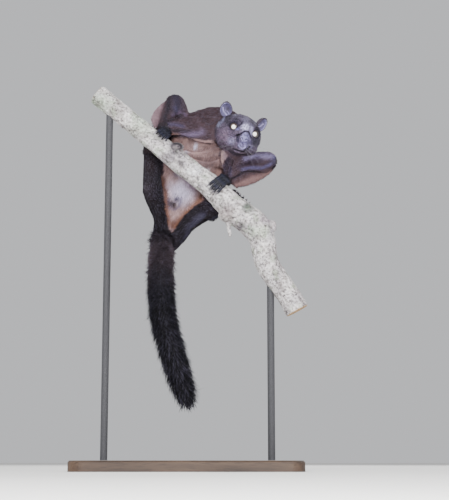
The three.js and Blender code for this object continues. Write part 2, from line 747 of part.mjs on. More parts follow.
function build() {
  const branch = branchSolid();
  const branchRoom = branchSolid(GAP);
  const trunkRoom = trunkSolid(GAP);
  addNode("stand_base", baseSolid(), "base");
  addNode("stand_rod_left", cutBy(rodSolid(ROD.left), [branchRoom]), "rod");
  addNode("stand_rod_right", cutBy(rodSolid(ROD.right), [branchRoom]), "rod");
  addNode("perch_branch", largest(branch), "bark");

  const headGroup = new THREE.Group();
  headGroup.matrixAutoUpdate = false;
  headGroup.matrix.copy(headFrame);
  group.add(headGroup);
  addNode("head", headSolid(), "face_fur", headGroup);
  addNode("ear_right", earSolid(-1), "ear_skin", headGroup);
  addNode("ear_left", earSolid(1), "ear_skin", headGroup);
  addNode("eye_right", eyeSolid(-1), "eye", headGroup);
  addNode("eye_left", eyeSolid(1), "eye", headGroup);
  const headRoom = skullSolid(GAP).transform(headFrame.elements);
  const earRooms = [-1, 1].map((side) => earShell(side, GAP).transform(headFrame.elements));

  const { rumpBelly, bellyChest, chestNeck } = TRUNK_CUTS;
  addNode("rump", trunkPiece(null, rumpBelly), "back_fur");
  addNode("belly", trunkPiece(rumpBelly, bellyChest), "belly_fur");
  addNode("chest", trunkPiece(bellyChest, chestNeck), "belly_fur");
  addNode("neck", cutBy(trunkPiece(chestNeck, null), [headRoom, ...earRooms]), "back_fur");

  const bodyRoom = [trunkRoom, headRoom, branchRoom];
  const softRoom = [...bodyRoom];
  for (const side of ["right", "left"]) {
    const { shoulder, elbow, wrist } = ARMS[side];
    const upper = limbSolid(shoulder, elbow);
    addNode(`upper_arm_${side}`, cutBy(upper, bodyRoom), "back_fur");
    const upperRoom = limbSolid(shoulder, elbow, GAP);
    const fore = limbSolid(elbow, wrist);
    addNode(`forearm_${side}`, cutBy(fore, [...bodyRoom, upperRoom]), "back_fur");
    const foreRoom = limbSolid(elbow, wrist, GAP);
    const hand = pawSolid(wrist, HAND[side], HAND);
    const handNode = cutBy(hand, [...bodyRoom, upperRoom, foreRoom]);
    addNode(`hand_${side}`, handNode, "skin");

    const { hip, knee, ankle } = LEGS[side];
    const thighRoom = limbSolid(hip, knee, GAP);
    addNode(`thigh_${side}`, cutBy(limbSolid(hip, knee), bodyRoom), "back_fur");
    const shinRoom = limbSolid(knee, ankle, GAP);
    addNode(`shin_${side}`, cutBy(limbSolid(knee, ankle), [...bodyRoom, thighRoom]), "back_fur");
    const foot = pawSolid(ankle, FOOT[side], FOOT);
    const footNode = cutBy(foot, [...bodyRoom, thighRoom, shinRoom]);
    addNode(`foot_${side}`, footNode, "skin");
    const pawRooms = [
      pawSolid(wrist, HAND[side], HAND, GAP),
      pawSolid(ankle, FOOT[side], FOOT, GAP),
    ];
    softRoom.push(upperRoom, foreRoom, thighRoom, shinRoom, ...pawRooms);
  }

  tailPieces(trunkRoom).forEach((piece, i) => addNode(`tail_${i + 1}`, piece, "tail_hair"));
  softRoom.push(tailBody(0, TAIL.length / 3, 1, GAP));

  for (const [name, { line, across }] of Object.entries(MEMBRANES)) {
    const sheet = loft(line, { sides: 7, steps: 5, across, dome: 0.6, rounds: 1 });
    addNode(name, cutBy(sheet, softRoom), "membrane");
    softRoom.push(loft(line, { sides: 7, steps: 5, across, dome: 0.6, rounds: 1, extra: GAP }));
  }
}

build();

export default group;
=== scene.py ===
"""Looks of the giant flying squirrel model: skin, coat, eyes, ears, paws, bark and stand.

Lengths are millimetres in this script and become metres where a mesh is made. The animal faces -Y,
its own right side is at -X, and +Z is up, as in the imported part.
"""
import contextlib
import math

import bmesh
import bpy
import numpy as np
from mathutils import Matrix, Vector, noise
from mathutils.bvhtree import BVHTree


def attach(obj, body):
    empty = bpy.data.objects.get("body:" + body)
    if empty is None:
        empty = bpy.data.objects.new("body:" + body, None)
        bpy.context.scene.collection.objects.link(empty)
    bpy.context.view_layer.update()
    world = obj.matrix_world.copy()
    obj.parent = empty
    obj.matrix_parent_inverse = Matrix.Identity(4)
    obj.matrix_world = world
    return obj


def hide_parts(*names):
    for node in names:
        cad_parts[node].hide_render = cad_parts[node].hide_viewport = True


MM = 0.001

# Photo's frame in pixels, and the camera: place, point it looks at, lens for the sensor's width in mm
IMAGE = (449, 500)
SENSOR = 36
CAMERA = {"at": (48, -1600, 15), "target": (48, 0, 304), "lens": 83.6}

# Head: midpoint between the eyes, and the directions it faces and holds its crown
HEAD_AT = np.array([75.9, -5.0, 476.0])
HEAD_FACING = (0.131, -0.976, -0.176)
HEAD_CROWN = (0.309, -0.129, 0.942)

# Branch: x and z of its axis with the radius there, in the plane y = 0
BRANCH_AXIS = [
    (-134, 531, 15.0), (-87, 491, 15.0), (-35, 447, 15.6), (0, 418, 16.0), (32, 393, 17.5),
    (52, 371, 19.5), (67, 358, 20.0), (84, 345, 21.5), (99, 327, 20.5), (103, 304, 18.0),
    (108, 283, 17.5), (123, 260, 17.0), (140, 235, 17.0), (149, 218, 17.5),
]

# Tail: root, length, lean forward from hanging at root and tip in degrees, drift aside, half widths;
# its flesh has a share of the half width and runs from inside the rump to near the tip
TAIL = {
    "root": (-40, 33, 327),
    "length": 396,
    "lean": (66, 28),
    "drift": (0, 2, 5, 12, 29, 52),
    "half_width": (17.5, 19, 19.5, 20, 20, 19, 16, 7),
    "core_share": 0.46,
    "core": (-14, 364),
}

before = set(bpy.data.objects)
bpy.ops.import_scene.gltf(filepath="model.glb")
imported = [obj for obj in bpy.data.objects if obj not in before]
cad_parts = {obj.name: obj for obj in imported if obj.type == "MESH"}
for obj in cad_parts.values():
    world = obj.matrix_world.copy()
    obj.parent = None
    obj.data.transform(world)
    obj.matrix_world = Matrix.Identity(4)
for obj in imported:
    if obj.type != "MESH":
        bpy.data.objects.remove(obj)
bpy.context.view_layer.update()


def unit(vectors):
    """Vectors of length one, for one vector or an array of them."""
    vectors = np.asarray(vectors, float)
    return vectors / np.maximum(np.linalg.norm(vectors, axis=-1, keepdims=True), 1e-9)


def smooth_step(low, high, values):
    share = np.clip((values - low) / (high - low), 0, 1)
    return share * share * (3 - 2 * share)


def mix(a, b, share):
    return a + (b - a) * share


def spline(points, share):
    """Points of the uniform Catmull-Rom line through points, at shares of it from 0 to 1."""
    points = np.asarray(points, float)
    padded = np.vstack([2 * points[0] - points[1], points, 2 * points[-1] - points[-2]])
    place = np.clip(np.asarray(share, float), 0, 1) * (len(points) - 1)
    first = np.minimum(place.astype(int), len(points) - 2)
    t = (place - first)[..., None]
    a, b, c, d = (padded[first + k] for k in range(4))
    cubic = 3 * (b - c) + d - a
    return 0.5 * (2 * b + (c - a) * t + (2 * a - 5 * b + 4 * c - d) * t**2 + cubic * t**3)


def number_spline(values, share):
    return spline(np.reshape(values, (-1, 1)), share)[..., 0]


def away_from_line(places, line):
    """Distance of places from a line of straight pieces."""
    line = np.asarray(line, float)
    best = np.full(len(places), 1e9)
    for start, end in zip(line[:-1], line[1:]):
        run = end - start
        share = np.clip(((places - start) @ run) / (run @ run), 0, 1)
        best = np.minimum(best, np.linalg.norm(places - start - share[:, None] * run, axis=1))
    return best


def curved(line, per_piece=5):
    return spline(line, np.linspace(0, 1, per_piece * (len(line) - 1) + 1))


def inside_of(places, outline):
    """Distance of places inside a closed outline, negative outside it."""
    closed = np.vstack([outline, outline[:1]]).astype(float)
    x, y = places.T
    odd = np.zeros(len(places), bool)
    for (x0, y0), (x1, y1) in zip(closed[:-1], closed[1:]):
        crosses = (y0 > y) != (y1 > y)
        rise = y1 - y0 if y1 != y0 else 1e-9
        odd ^= crosses & (x < x0 + (y - y0) * (x1 - x0) / rise)
    distance = away_from_line(places, closed)
    return np.where(odd, distance, -distance)


def picture_place(points):
    """Where points show in the photo's frame, in pixels from its top left corner."""
    at = np.array(CAMERA["at"], float)
    ahead = unit(np.array(CAMERA["target"], float) - at)
    right = np.array([1.0, 0, 0])
    up = np.cross(right, ahead)
    away = points - at
    focal = CAMERA["lens"] / SENSOR * IMAGE[1] / (away @ ahead)
    return np.stack([IMAGE[0] / 2 + focal * (away @ right), IMAGE[1] / 2 - focal * (away @ up)], axis=1)


# Mesh making

def linked(name, data):
    """Object of a mesh, lamp or camera, in the scene."""
    made = bpy.data.objects.new(name, data)
    bpy.context.scene.collection.objects.link(made)
    return made


def mesh_object(name, points, faces):
    """Object of a mesh given in millimetres."""
    mesh = bpy.data.meshes.new(name)
    mesh.from_pydata((np.asarray(points) * MM).tolist(), [], [list(map(int, face)) for face in faces])
    mesh.validate()
    return linked(name, mesh)


@contextlib.contextmanager
def edited(mesh):
    """Opens a mesh for bmesh and stores it again."""
    shell = bmesh.new()
    shell.from_mesh(mesh)
    yield shell
    shell.to_mesh(mesh)
    shell.free()
    mesh.update()


def closed_object(name, points, faces):
    """Object of a closed mesh, with its faces turned to the outside."""
    made = mesh_object(name, points, faces)
    with edited(made.data) as shell:
        bmesh.ops.recalc_face_normals(shell, faces=shell.faces)
    return made


def rows_of(items, key, size=3, kind=float):
    """Attribute of a mesh's vertices, edges, loops or triangles, in a row for each."""
    values = np.zeros(len(items) * size, kind)
    items.foreach_get(key, values)
    return values.reshape(-1, size)


def points_of(mesh):
    return rows_of(mesh.vertices, "co") / MM


def set_points(mesh, points):
    mesh.vertices.foreach_set("co", (points * MM).astype(np.float32).ravel())
    mesh.update()


def normals_of(mesh):
    return rows_of(mesh.vertices, "normal")


def edges_of(mesh):
    return rows_of(mesh.edges, "vertices", 2, int)


def triangles_of(mesh):
    """Corner vertices and corner loops of each triangle."""
    mesh.calc_loop_triangles()
    return [rows_of(mesh.loop_triangles, key, kind=int) for key in ("vertices", "loops")]


def relax(values, edges, rounds, share=0.5):
    """Values at vertices, each moved towards the mean of its neighbours, round by round."""
    values = np.asarray(values, float)
    flat = values.reshape(len(values), -1)
    degree = np.maximum(np.bincount(edges.ravel(), minlength=len(flat)), 1)
    share = np.broadcast_to(np.asarray(share, float), (len(flat),))
    for _ in range(rounds):
        mean = np.empty_like(flat)
        for column in range(flat.shape[1]):
            total = np.bincount(edges[:, 0], flat[edges[:, 1], column], len(flat))
            total += np.bincount(edges[:, 1], flat[edges[:, 0], column], len(flat))
            mean[:, column] = total / degree
        flat = flat + share[:, None] * (mean - flat)
    return flat.reshape(values.shape)


def circle(sides):
    return np.linspace(0, 2 * math.pi, sides, endpoint=False)


def loft_faces(rings, sides, turned=False):
    """Faces over rings of points, closed by the two points that follow them; turned flips the faces."""
    faces = []
    last = (rings - 1) * sides
    before, after = rings * sides, rings * sides + 1
    for i in range(sides):
        j = (i + 1) % sides
        for k in range(0, last, sides):
            faces.append((k + i, k + j, k + sides + j, k + sides + i))
        faces += [(before, j, i), (after, last + i, last + j)]
    return [(first, *others[::-1]) for first, *others in faces] if turned else faces


def tube(line, radii, sides=16, squash=1.0, across=(0, 0, 1)):
    """Closed tube with round ends along points, each with its radius; squash flattens it."""
    line = np.asarray(line, float)
    radii = np.broadcast_to(np.asarray(radii, float), (len(line),))
    along = unit(np.gradient(line, axis=0))
    side = unit(np.cross(along, np.asarray(across, float)))
    up = np.cross(side, along)
    last = len(line) - 1
    # Rings of the body, and two more at each end: point of the line, way out, angle on the round end
    rings = [(0, -1, 60), (0, -1, 30), *((k, 0, 0) for k in range(len(line))), (last, 1, 30), (last, 1, 60)]
    turn = circle(sides)[:, None]
    points = []
    for k, way, degrees in rings:
        angle = np.radians(degrees)
        centre = line[k] + way * along[k] * radii[k] * math.sin(angle) * squash
        around = np.cos(turn) * side[k] + squash * np.sin(turn) * up[k]
        points.append(centre + radii[k] * math.cos(angle) * around)
    for k, way in ((0, -1), (last, 1)):
        points.append([line[k] + way * along[k] * radii[k] * squash])
    return np.vstack(points), loft_faces(len(rings), sides)


def ball(centre, sizes, axes=np.eye(3), rings=14, sides=20):
    """Ellipsoid with half sizes along the rows of axes."""
    points = []
    for k in range(1, rings):
        angle = math.pi * k / rings
        for i in range(sides):
            turn = 2 * math.pi * i / sides
            flat = math.sin(angle)
            points.append((flat * math.cos(turn), flat * math.sin(turn), math.cos(angle)))
    points += [(0, 0, 1), (0, 0, -1)]
    return np.asarray(centre, float) + np.multiply(points, sizes) @ axes, loft_faces(rings - 1, sides, True)


def joined(parts):
    """Points and faces of several parts as one."""
    faces, start = [], 0
    for part_points, part_faces in parts:
        faces += [[int(i) + start for i in face] for face in part_faces]
        start += len(part_points)
    return np.vstack([part[0] for part in parts]), faces


def fused(name, parts, voxel):
    """One even mesh round closed parts that overlap."""
    rough = mesh_object(name + "_rough", *joined(parts))
    modifier = rough.modifiers.new("voxels", "REMESH")
    modifier.mode = "VOXEL"
    modifier.voxel_size = voxel * MM
    modifier.use_smooth_shade = True
    graph = bpy.context.evaluated_depsgraph_get()
    mesh = bpy.data.meshes.new_from_object(rough.evaluated_get(graph))
    bpy.data.objects.remove(rough)
    made = linked(name, mesh)
    keep_largest(mesh)
    return made


def keep_largest(mesh):
    """Deletes all but the largest connected piece of a mesh."""
    with edited(mesh) as shell:
        shell.verts.ensure_lookup_table()
        left = set(range(len(shell.verts)))
        groups = []
        while left:
            group = [left.pop()]
            for index in group:
                for edge in shell.verts[index].link_edges:
                    other = edge.other_vert(shell.verts[index]).index
                    if other in left:
                        left.discard(other)
                        group.append(other)
            groups.append(group)
        kept = set(max(groups, key=len))
        loose = [vertex for vertex in shell.verts if vertex.index not in kept]
        if loose:
            bmesh.ops.delete(shell, geom=loose, context="VERTS")


def node_part(name, swell=0.0):
    """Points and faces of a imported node, moved out along its normals."""
    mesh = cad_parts[name].data
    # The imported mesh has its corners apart, so the same places are joined first
    _, first, same = np.unique(np.round(points_of(mesh), 2), axis=0, return_index=True, return_inverse=True)
    points = points_of(mesh)[first]
    faces = same.ravel()[triangles_of(mesh)[0]]
    a, b, c = faces.T
    faces = faces[(a != b) & (b != c) & (a != c)]
    corners = points[faces]
    flat = np.cross(corners[:, 1] - corners[:, 0], corners[:, 2] - corners[:, 0])
    normals = np.zeros_like(points)
    for k in range(3):
        np.add.at(normals, faces[:, k], flat)
    return points + swell * unit(normals), faces


# Body plan: the nodes that the skin stands for, each with the lie of its coat
SKIN_NODES = {
    # node: (lie of the coat, coat length, tuft width, depth of the skin in the solid)
    "head": ((0.2, 0.9, 0.1), 3.2, 0.55, 1.0),
    "neck": ((-0.87, 0.40, -0.28), 7.0, 0.9, 2.4),
    "chest": ((-0.33, 0.05, -0.94), 7.0, 0.9, 2.4),
    "belly": ((-0.30, -0.10, -0.95), 7.0, 0.9, 2.4),
    "rump": ((-0.20, -0.35, -0.91), 8.0, 1.0, 2.6),
    "upper_arm_right": ((-0.54, 0.33, 0.73), 7.0, 0.9, 2.2),
    "forearm_right": ((-0.15, -0.75, -0.64), 5.0, 0.8, 1.8),
    "upper_arm_left": ((0.94, -0.04, -0.35), 7.0, 0.9, 2.2),
    "forearm_left": ((-0.75, -0.46, -0.46), 5.0, 0.8, 1.8),
    "thigh_right": ((-0.30, -0.94, 0.13), 7.0, 0.9, 2.2),
    "shin_right": ((-0.04, 0.42, 0.90), 5.0, 0.8, 1.8),
    "thigh_left": ((0.64, -0.75, -0.08), 7.0, 0.9, 2.2),
    "shin_left": ((0.35, 0.66, 0.66), 5.0, 0.8, 1.8),
    "membrane_front_right": ((-0.95, -0.28, -0.10), 5.5, 0.8, 1.6),
    "membrane_front_left": ((-0.38, -0.40, -0.83), 5.5, 0.8, 1.4),
    "membrane_arm_right": ((-0.6, -0.2, -0.75), 4.0, 0.7, 0.6),
    "membrane_arm_left": ((0.1, -0.2, -0.97), 4.0, 0.7, 0.6),
    "membrane_flank_right": ((-0.15, -0.29, -0.94), 6.0, 0.8, 1.4),
    "membrane_axilla_left": ((0.4, -0.1, -0.91), 6.0, 0.8, 1.4),
    "membrane_flank_left": ((-0.15, -0.44, -0.88), 6.0, 0.8, 1.4),
    "membrane_tail_right": ((0.26, 0.42, -0.87), 6.0, 0.8, 1.8),
    "membrane_tail_left": ((-0.84, 0.25, -0.48), 6.0, 0.8, 1.8),
}
# Regions of the skin, numbered in this order
REGIONS = {**SKIN_NODES, "tail": ((0, 0, -1), 27.0, 0.75, 0.0)}
HEAD_REGION, TAIL_REGION = 0, len(SKIN_NODES)
LIE, LENGTH, WIDTH, DEPTH = range(4)

SKIN_VOXEL = 1.6
SWELL = 0.6
# Rounds of smoothing, how soft the head and the rest is, and how far the skin may move in and out
SKIN_ROUNDS = 34
HEAD_SOFTNESS, BODY_SOFTNESS = 0.25, 0.5
MOVE_LIMITS = (-4.5, 1.0)
MOVE_ROUNDS = 14


def by_region(region, column):
    """Column of the table of regions, at vertices with these regions."""
    return np.array([row[column] for row in REGIONS.values()], float)[region]


def region_mask(region, nodes):
    return np.isin(region, [list(REGIONS).index(name) for name in nodes])


def both(*names):
    """Names of the nodes on both sides."""
    return [f"{name}_{side}" for name in names for side in ("right", "left")]


def tail_line(distance):
    """Points of the tail's middle line at distances from its root."""
    steps = 160
    shares = np.arange(steps + 1) / steps
    lean = np.radians(mix(*TAIL["lean"], shares))
    step = TAIL["length"] / steps
    line = np.zeros((steps + 1, 3))
    line[:, 0] = TAIL["root"][0] + number_spline(TAIL["drift"], shares)
    for axis, way in ((1, np.sin(lean)), (2, np.cos(lean))):
        line[:, axis] = TAIL["root"][axis] - np.concatenate([[0], np.cumsum(step * way)[:-1]])
    return spline(line, np.asarray(distance, float) / TAIL["length"])


def tail_reach(distance):
    return number_spline(TAIL["half_width"], np.asarray(distance, float) / TAIL["length"])


TAIL_DISTANCES = np.linspace(0, TAIL["length"], 80)
TAIL_POINTS = tail_line(TAIL_DISTANCES)

HEAD_Z = unit(HEAD_FACING)
HEAD_X = unit(np.cross(HEAD_CROWN, HEAD_Z))
HEAD_Y = np.cross(HEAD_Z, HEAD_X)
HEAD_AXES = np.array([HEAD_X, HEAD_Y, HEAD_Z])


def in_head(points):
    """Places in the head's own frame: to its left, up, ahead of the eyes."""
    return (points - HEAD_AT) @ HEAD_AXES.T


def from_head(places):
    return HEAD_AT + np.asarray(places, float) @ HEAD_AXES


def tail_part():
    """Flesh of the tail, from inside the rump to near the tip."""
    distances = np.linspace(*TAIL["core"], 60)
    core = tail_reach(np.maximum(distances, 0)) * TAIL["core_share"]
    line = tail_line(np.maximum(distances, 0))
    inside = distances < 0
    line[inside] += np.outer(distances[inside], tail_line([2])[0] - tail_line([0])[0]) / 2
    return tube(line, core, sides=20, across=(1, 0, 0))


class Solids:
    """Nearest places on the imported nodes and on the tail's flesh, for a skin that lies inside them."""

    def __init__(self, tail):
        parts = [*(node_part(name) for name in SKIN_NODES), tail]
        points, faces = joined(parts)
        self.owner = [number for number, part in enumerate(parts) for _ in part[1]]
        self.tree = BVHTree.FromPolygons(points.tolist(), faces)

    def nearest(self, points):
        """Number of the nearest region and signed distance outside it, for each point."""
        owner = np.zeros(len(points), int)
        height = np.zeros(len(points))
        for k, point in enumerate(points.tolist()):
            place, normal, face, _ = self.tree.find_nearest(point)
            owner[k] = self.owner[face]
            height[k] = (Vector(point) - place).dot(normal)
        return owner, height


def skin_object():
    """Skin over the whole body: smooth, deeper than the solids by the coat's depth, and a region's
    number for each of its vertices."""
    tail = tail_part()
    parts = [node_part(name, SWELL) for name in SKIN_NODES]
    clay = [ball(from_head(at), sizes, HEAD_AXES) for at, sizes in HEAD_CLAY]
    clay += [ball(at, sizes) for at, sizes in TRUNK_CLAY]
    skin = fused("skin", [*parts, *clay, tail], SKIN_VOXEL)
    for centre, reach in FINE_PLACES:
        refine_face(skin.data, centre, reach)
    points = points_of(skin.data)
    edges = edges_of(skin.data)
    solids = Solids(tail)
    region, _ = solids.nearest(points)
    softness = np.where(region == HEAD_REGION, HEAD_SOFTNESS, BODY_SOFTNESS)
    points = relax(points, edges, SKIN_ROUNDS, softness)
    region, height = solids.nearest(points)
    move = relax(np.clip(-by_region(region, DEPTH) - height, *MOVE_LIMITS), edges, MOVE_ROUNDS)
    set_points(skin.data, points)
    points = points + normals_of(skin.data) * move[:, None]
    set_points(skin.data, points)
    points = creased(points, normals_of(skin.data), region)
    set_points(skin.data, sculpted_head(points))
    return skin, region


# Head

# Eyes: place of the left one in the head's frame, radius of the glass, degrees that it looks outward
# and that its lids stand open, depth of the skin under the glass and its height over it at the lids
EYE = {"at": (14.6, -0.2, 0.4), "radius": 7.8, "outward": 24, "open": 45, "under": 1.2, "over": 0.5}
LID = {"radius": 5.75, "ahead": 5.5, "thick": 0.8}
EYE_REACH = 15
# Places of the head where the skin is split into finer faces, one after the other: centre, reach
FINE_PLACES = [((0, -14, 2), 46), ((0, -20, 18), 19)]

# Clay that is fused into the skin: place in the head's frame, half sizes
HEAD_CLAY = [
    ((0, -20, 13), (9.6, 13.5, 11.5)),
    ((17, -20, -8), (14, 15, 13)),
    ((-17, -20, -8), (14, 15, 13)),
    ((0, -33, 12), (7, 6.5, 8.5)),
]
# The same for the trunk, in the model's frame, where fur closes the gaps between limbs and trunk
TRUNK_CLAY = [
    ((50, 46, 447), (20, 14, 18)),
    ((-20, 36, 474), (15, 13, 13)),
    ((-44, 48, 440), (11, 17, 26)),
    ((-30, 40, 372), (20, 18, 30)),
    ((40, 62, 424), (12, 10, 15)),
    ((-27, 70, 503), (14, 12, 20)),
    ((-36, 27, 325), (12, 14, 14)),
    ((-38.4, 15, 319.5), (10.5, 15, 11.6)),
    ((-39.2, 3, 314), (8.8, 15, 9.4)),
]

# Forms that swell or sink the face: place, spread, push. Those beside the middle are on both sides.
FACE_FORMS = [
    ((13, 9.5, 0), (8, 4, 8), (0, 0.6, 1.5)),
    ((0, 1.5, 6), (5.5, 8, 9), (0, 0, 1.8)),
    ((0, -9, 14), (6, 4, 8), (0, 0, 1.0)),
    ((8.5, -22, 12), (4, 7, 9), (-0.4, 0, -1.4)),
    ((0, 16, -8), (13, 8, 12), (0, 0.4, 0.9)),
    ((14, 0.2, 6), (8.6, 8, 9), (0, 0, -1.5)),
    ((8.8, -8, 10), (3, 5, 6), (0, 0, -1.2)),
    ((21, -20, 0), (8, 8, 11), (1.6, 0, 0.6)),
    ((6.2, -26.5, 19), (4.2, 4.5, 7), (0.3, 0, 1.0)),
    ((0, -37, 15), (5, 3.4, 7), (0, -0.3, 1.2)),
    ((14.5, -31, 4), (5, 5, 9), (-1.2, 0, -1.0)),
]
# Furrows of the face: line in the photo's frame, width there, depth; the lip stands out instead
FACE_FURROWS = {
    "arch": (
        [(236.5, 135.5), (238.8, 134.9), (241.1, 134), (242.6, 132.4), (244.9, 131.3), (247.2, 131.3),
         (249.1, 132.8), (250.3, 135.5), (251.2, 138)], 0.75, 1.8),
    "beside": ([(237.8, 136.6), (237.3, 139.5), (238, 142.5)], 1.3, 1.5),
    "mouth": (
        [(233.4, 148.9), (236.5, 150), (238.8, 150.6), (241.8, 151.6), (244.5, 150.6), (247.6, 148.5),
         (249.5, 146.5)], 0.6, 1.8),
    "lip": ([(238.6, 145.5), (241.1, 148.1), (242.6, 148.9), (245.5, 147.2)], 0.8, -0.8),
    "groove": ([(242.6, 143.6), (243.2, 146.2)], 0.5, 0.9),
    "brow": ([(234.4, 119.6), (237.6, 119.4), (240.5, 121)], 0.6, 1.0),
    "corner": ([(239.6, 125.8), (241.5, 123.6), (242.6, 122)], 0.6, 1.0),
    "under": ([(227.7, 128.8), (231, 130.5), (234.2, 131.4)], 0.6, 0.8),
}


def refine_face(mesh, centre, reach):
    """Splits the faces near a place of the head, so that lids, nose and lips have fine ones."""
    middle = Vector(from_head(centre) * MM)
    with edited(mesh) as shell:
        near = [edge for edge in shell.edges if (edge.verts[0].co - middle).length < reach * MM]
        bmesh.ops.subdivide_edges(shell, edges=near, cuts=1, use_grid_fill=True)


def eye_axes(side):
    """Centre of an eye in the head's frame, and the way that it looks out of its lids."""
    turn = math.radians(EYE["outward"])
    return np.array(EYE["at"]) * (side, 1, 1), np.array([side * math.sin(turn), 0, math.cos(turn)])


def from_eye(places, side):
    """Ways and distances of places from an eye's centre, and their degrees from where it looks."""
    centre, out = eye_axes(side)
    away = places - centre
    distance = np.maximum(np.linalg.norm(away, axis=1), 1e-6)
    return away, distance, np.degrees(np.arccos(np.clip((away @ out) / distance, -1, 1)))


def bell(gap, width):
    return np.exp(-((gap / width) ** 2))


def sculpted_head(points):
    """Gives the skin of the head its brows, cheeks, muzzle, furrows and the openings of the eyes."""
    place = in_head(points)
    near = (np.abs(place[:, 0]) < 45) & (np.abs(place[:, 1] + 8) < 45) & (place[:, 2] > -30)
    some = place[near]
    move = np.zeros_like(some)
    for at, spread, push in FACE_FORMS:
        for side in (-1, 1) if at[0] else (1,):
            away = (some - np.multiply(at, (side, 1, 1))) / spread
            move += np.exp(-(away**2).sum(1))[:, None] * np.multiply(push, (side, 1, 1))
    front = smooth_step(0, 6, some[:, 2])
    seen = picture_place(from_head(some))
    for line, width, depth in FACE_FURROWS.values():
        move[:, 2] -= depth * bell(away_from_line(seen, curved(line)), width) * front
    some = some + move
    for side in (-1, 1):
        away, distance, angle = from_eye(some, side)
        opening = 1 - smooth_step(EYE["open"] - 3, EYE["open"] + 5, angle)
        lid = np.maximum(distance, EYE["radius"] + EYE["over"])
        wanted = mix(lid, EYE["radius"] - EYE["under"], opening)
        wanted = np.where(distance < EYE_REACH, wanted, distance)
        some = eye_axes(side)[0] + away * (wanted / distance)[:, None]
    place[near] = some
    return from_head(place)


# Folds of the body, as lines in the photo's frame, which sink the skin and darken the coat with painted shade

ELBOW_FOLD = [
    (224.4, 180.6), (237, 176.4), (243.3, 172.2), (250.7, 171.2), (260.2, 172.2), (268.6, 172.2),
    (275, 166),
]
WRIST_FOLDS = (
    [(224.4, 160.6), (228.6, 168), (225.5, 179.6)],
    [(233.5, 159.6), (230.5, 170), (227, 179.6)],
)
CHEST_FOLD = [(188.7, 155.4), (197, 158.5), (205.5, 160.6), (213.9, 159.6), (219.2, 157.5)]
THROAT_FOLD = [(181, 147), (190.8, 151), (204.5, 150), (216, 147)]

# Furrows and swellings of the body: parts they are on, line, width, depth
TRUNK = ["neck", "chest", "belly", "rump"]
ARM_NODES = both("upper_arm", "forearm", "membrane_front", "membrane_arm")
TRUNK_NODES = [*TRUNK, "membrane_axilla_left", *both("membrane_flank", "membrane_tail")]
CREASES = [
    (ARM_NODES, [(157.7, 123.8), (166.7, 120.6), (174, 123.3), (184.5, 121.7), (195, 122.7)], 1.2, 1.8),
    (ARM_NODES, [(186, 112.5), (178, 115), (170, 118.5)], 1.2, 1.6),
    (ARM_NODES, [(165, 129), (176, 132.3), (187, 134), (196, 132.6)], 1.1, 1.3),
    (ARM_NODES, ELBOW_FOLD, 1.0, 2.2),
    *((ARM_NODES, line, 0.9, 1.4) for line in WRIST_FOLDS),
    (TRUNK_NODES, CHEST_FOLD, 1.4, 1.4),
    (TRUNK_NODES, THROAT_FOLD, 1.3, 1.1),
    (TRUNK_NODES, [(188, 139.5), (190, 144.5), (187, 149)], 1.0, 0.8),
    (TRUNK_NODES, [(179.7, 196.2), (179.8, 196.6)], 1.6, 1.2),
    (TRUNK_NODES, [(175.8, 201.8), (175.9, 202.3)], 2.0, 1.3),
]
SWELLINGS = [
    (ARM_NODES, [(160.4, 127), (174, 128), (186.6, 128), (200, 129)], 1.8, 1.2),
    (ARM_NODES, [(243.3, 168.4), (252.8, 167), (263.3, 167.5), (273.8, 162)], 1.7, 1.3),
    (TRUNK_NODES, [(190, 154), (203, 155.5), (214, 153.5)], 1.8, 1.0),
]


def creased(points, normals, region):
    """Sinks the body's furrows into the skin and raises its swellings, where they face the viewer."""
    place = picture_place(points)
    front = smooth_step(0.1, 0.5, -normals[:, 1])
    height = np.zeros(len(points))
    for lines, way in ((CREASES, -1), (SWELLINGS, 1)):
        for nodes, line, width, depth in lines:
            near = bell(away_from_line(place, curved(line)), width)
            height += way * depth * near * front * region_mask(region, nodes)
    return points + normals * height[:, None]


# Camera, floor and light

FLOOR = {"half": 4000, "colour": (0.78, 0.77, 0.75), "roughness": 0.85}
SKY = {"Color": (0.9, 0.91, 0.94, 1), "Strength": 0.7}
LIGHTS = [
    # name, place, point it lights, side, power in watts
    ("key", (-600, -1500, 1100), (10, 20, 400), 700, 42),
    ("front", (150, -1500, 120), (10, 20, 420), 500, 23),
    ("fill", (1300, -1100, 700), (20, 20, 380), 1100, 16),
    ("rim", (300, 1300, 1200), (20, 20, 420), 900, 26),
]


def aimed(name, data, at, target):
    """Object of a lamp or camera that looks from one place at another."""
    made = linked(name, data)
    made.location = Vector(at) * MM
    made.rotation_euler = (Vector(target) - Vector(at)).to_track_quat("-Z", "Y").to_euler()
    return made


def stage():
    half = FLOOR["half"]
    corners = [(-half, -half, 0), (half, -half, 0), (half, half, 0), (-half, half, 0)]
    floor = mesh_object("floor", corners, [(0, 1, 2, 3)])
    material, _ = new_material("floor", FLOOR["colour"], FLOOR["roughness"])
    floor.data.materials.append(material)
    world = bpy.data.worlds.new("studio")
    world.use_nodes = True
    for key, value in SKY.items():
        world.node_tree.nodes["Background"].inputs[key].default_value = value
    bpy.context.scene.world = world
    for name, at, target, size, power in LIGHTS:
        light = bpy.data.lights.new(name, "AREA")
        light.size = size * MM
        light.energy = power
        aimed(name, light, at, target)


def camera():
    lens = bpy.data.cameras.new("camera")
    lens.lens = CAMERA["lens"]
    lens.sensor_width = SENSOR
    lens.clip_start = 0.05
    lens.clip_end = 50
    bpy.context.scene.camera = aimed("camera", lens, CAMERA["at"], CAMERA["target"])


def new_material(name, colour, roughness):
    material = bpy.data.materials.new(name)
    material.use_nodes = True
    shader = material.node_tree.nodes["Principled BSDF"]
    shader.inputs["Base Color"].default_value = (*colour, 1)
    shader.inputs["Roughness"].default_value = roughness
    return material, shader


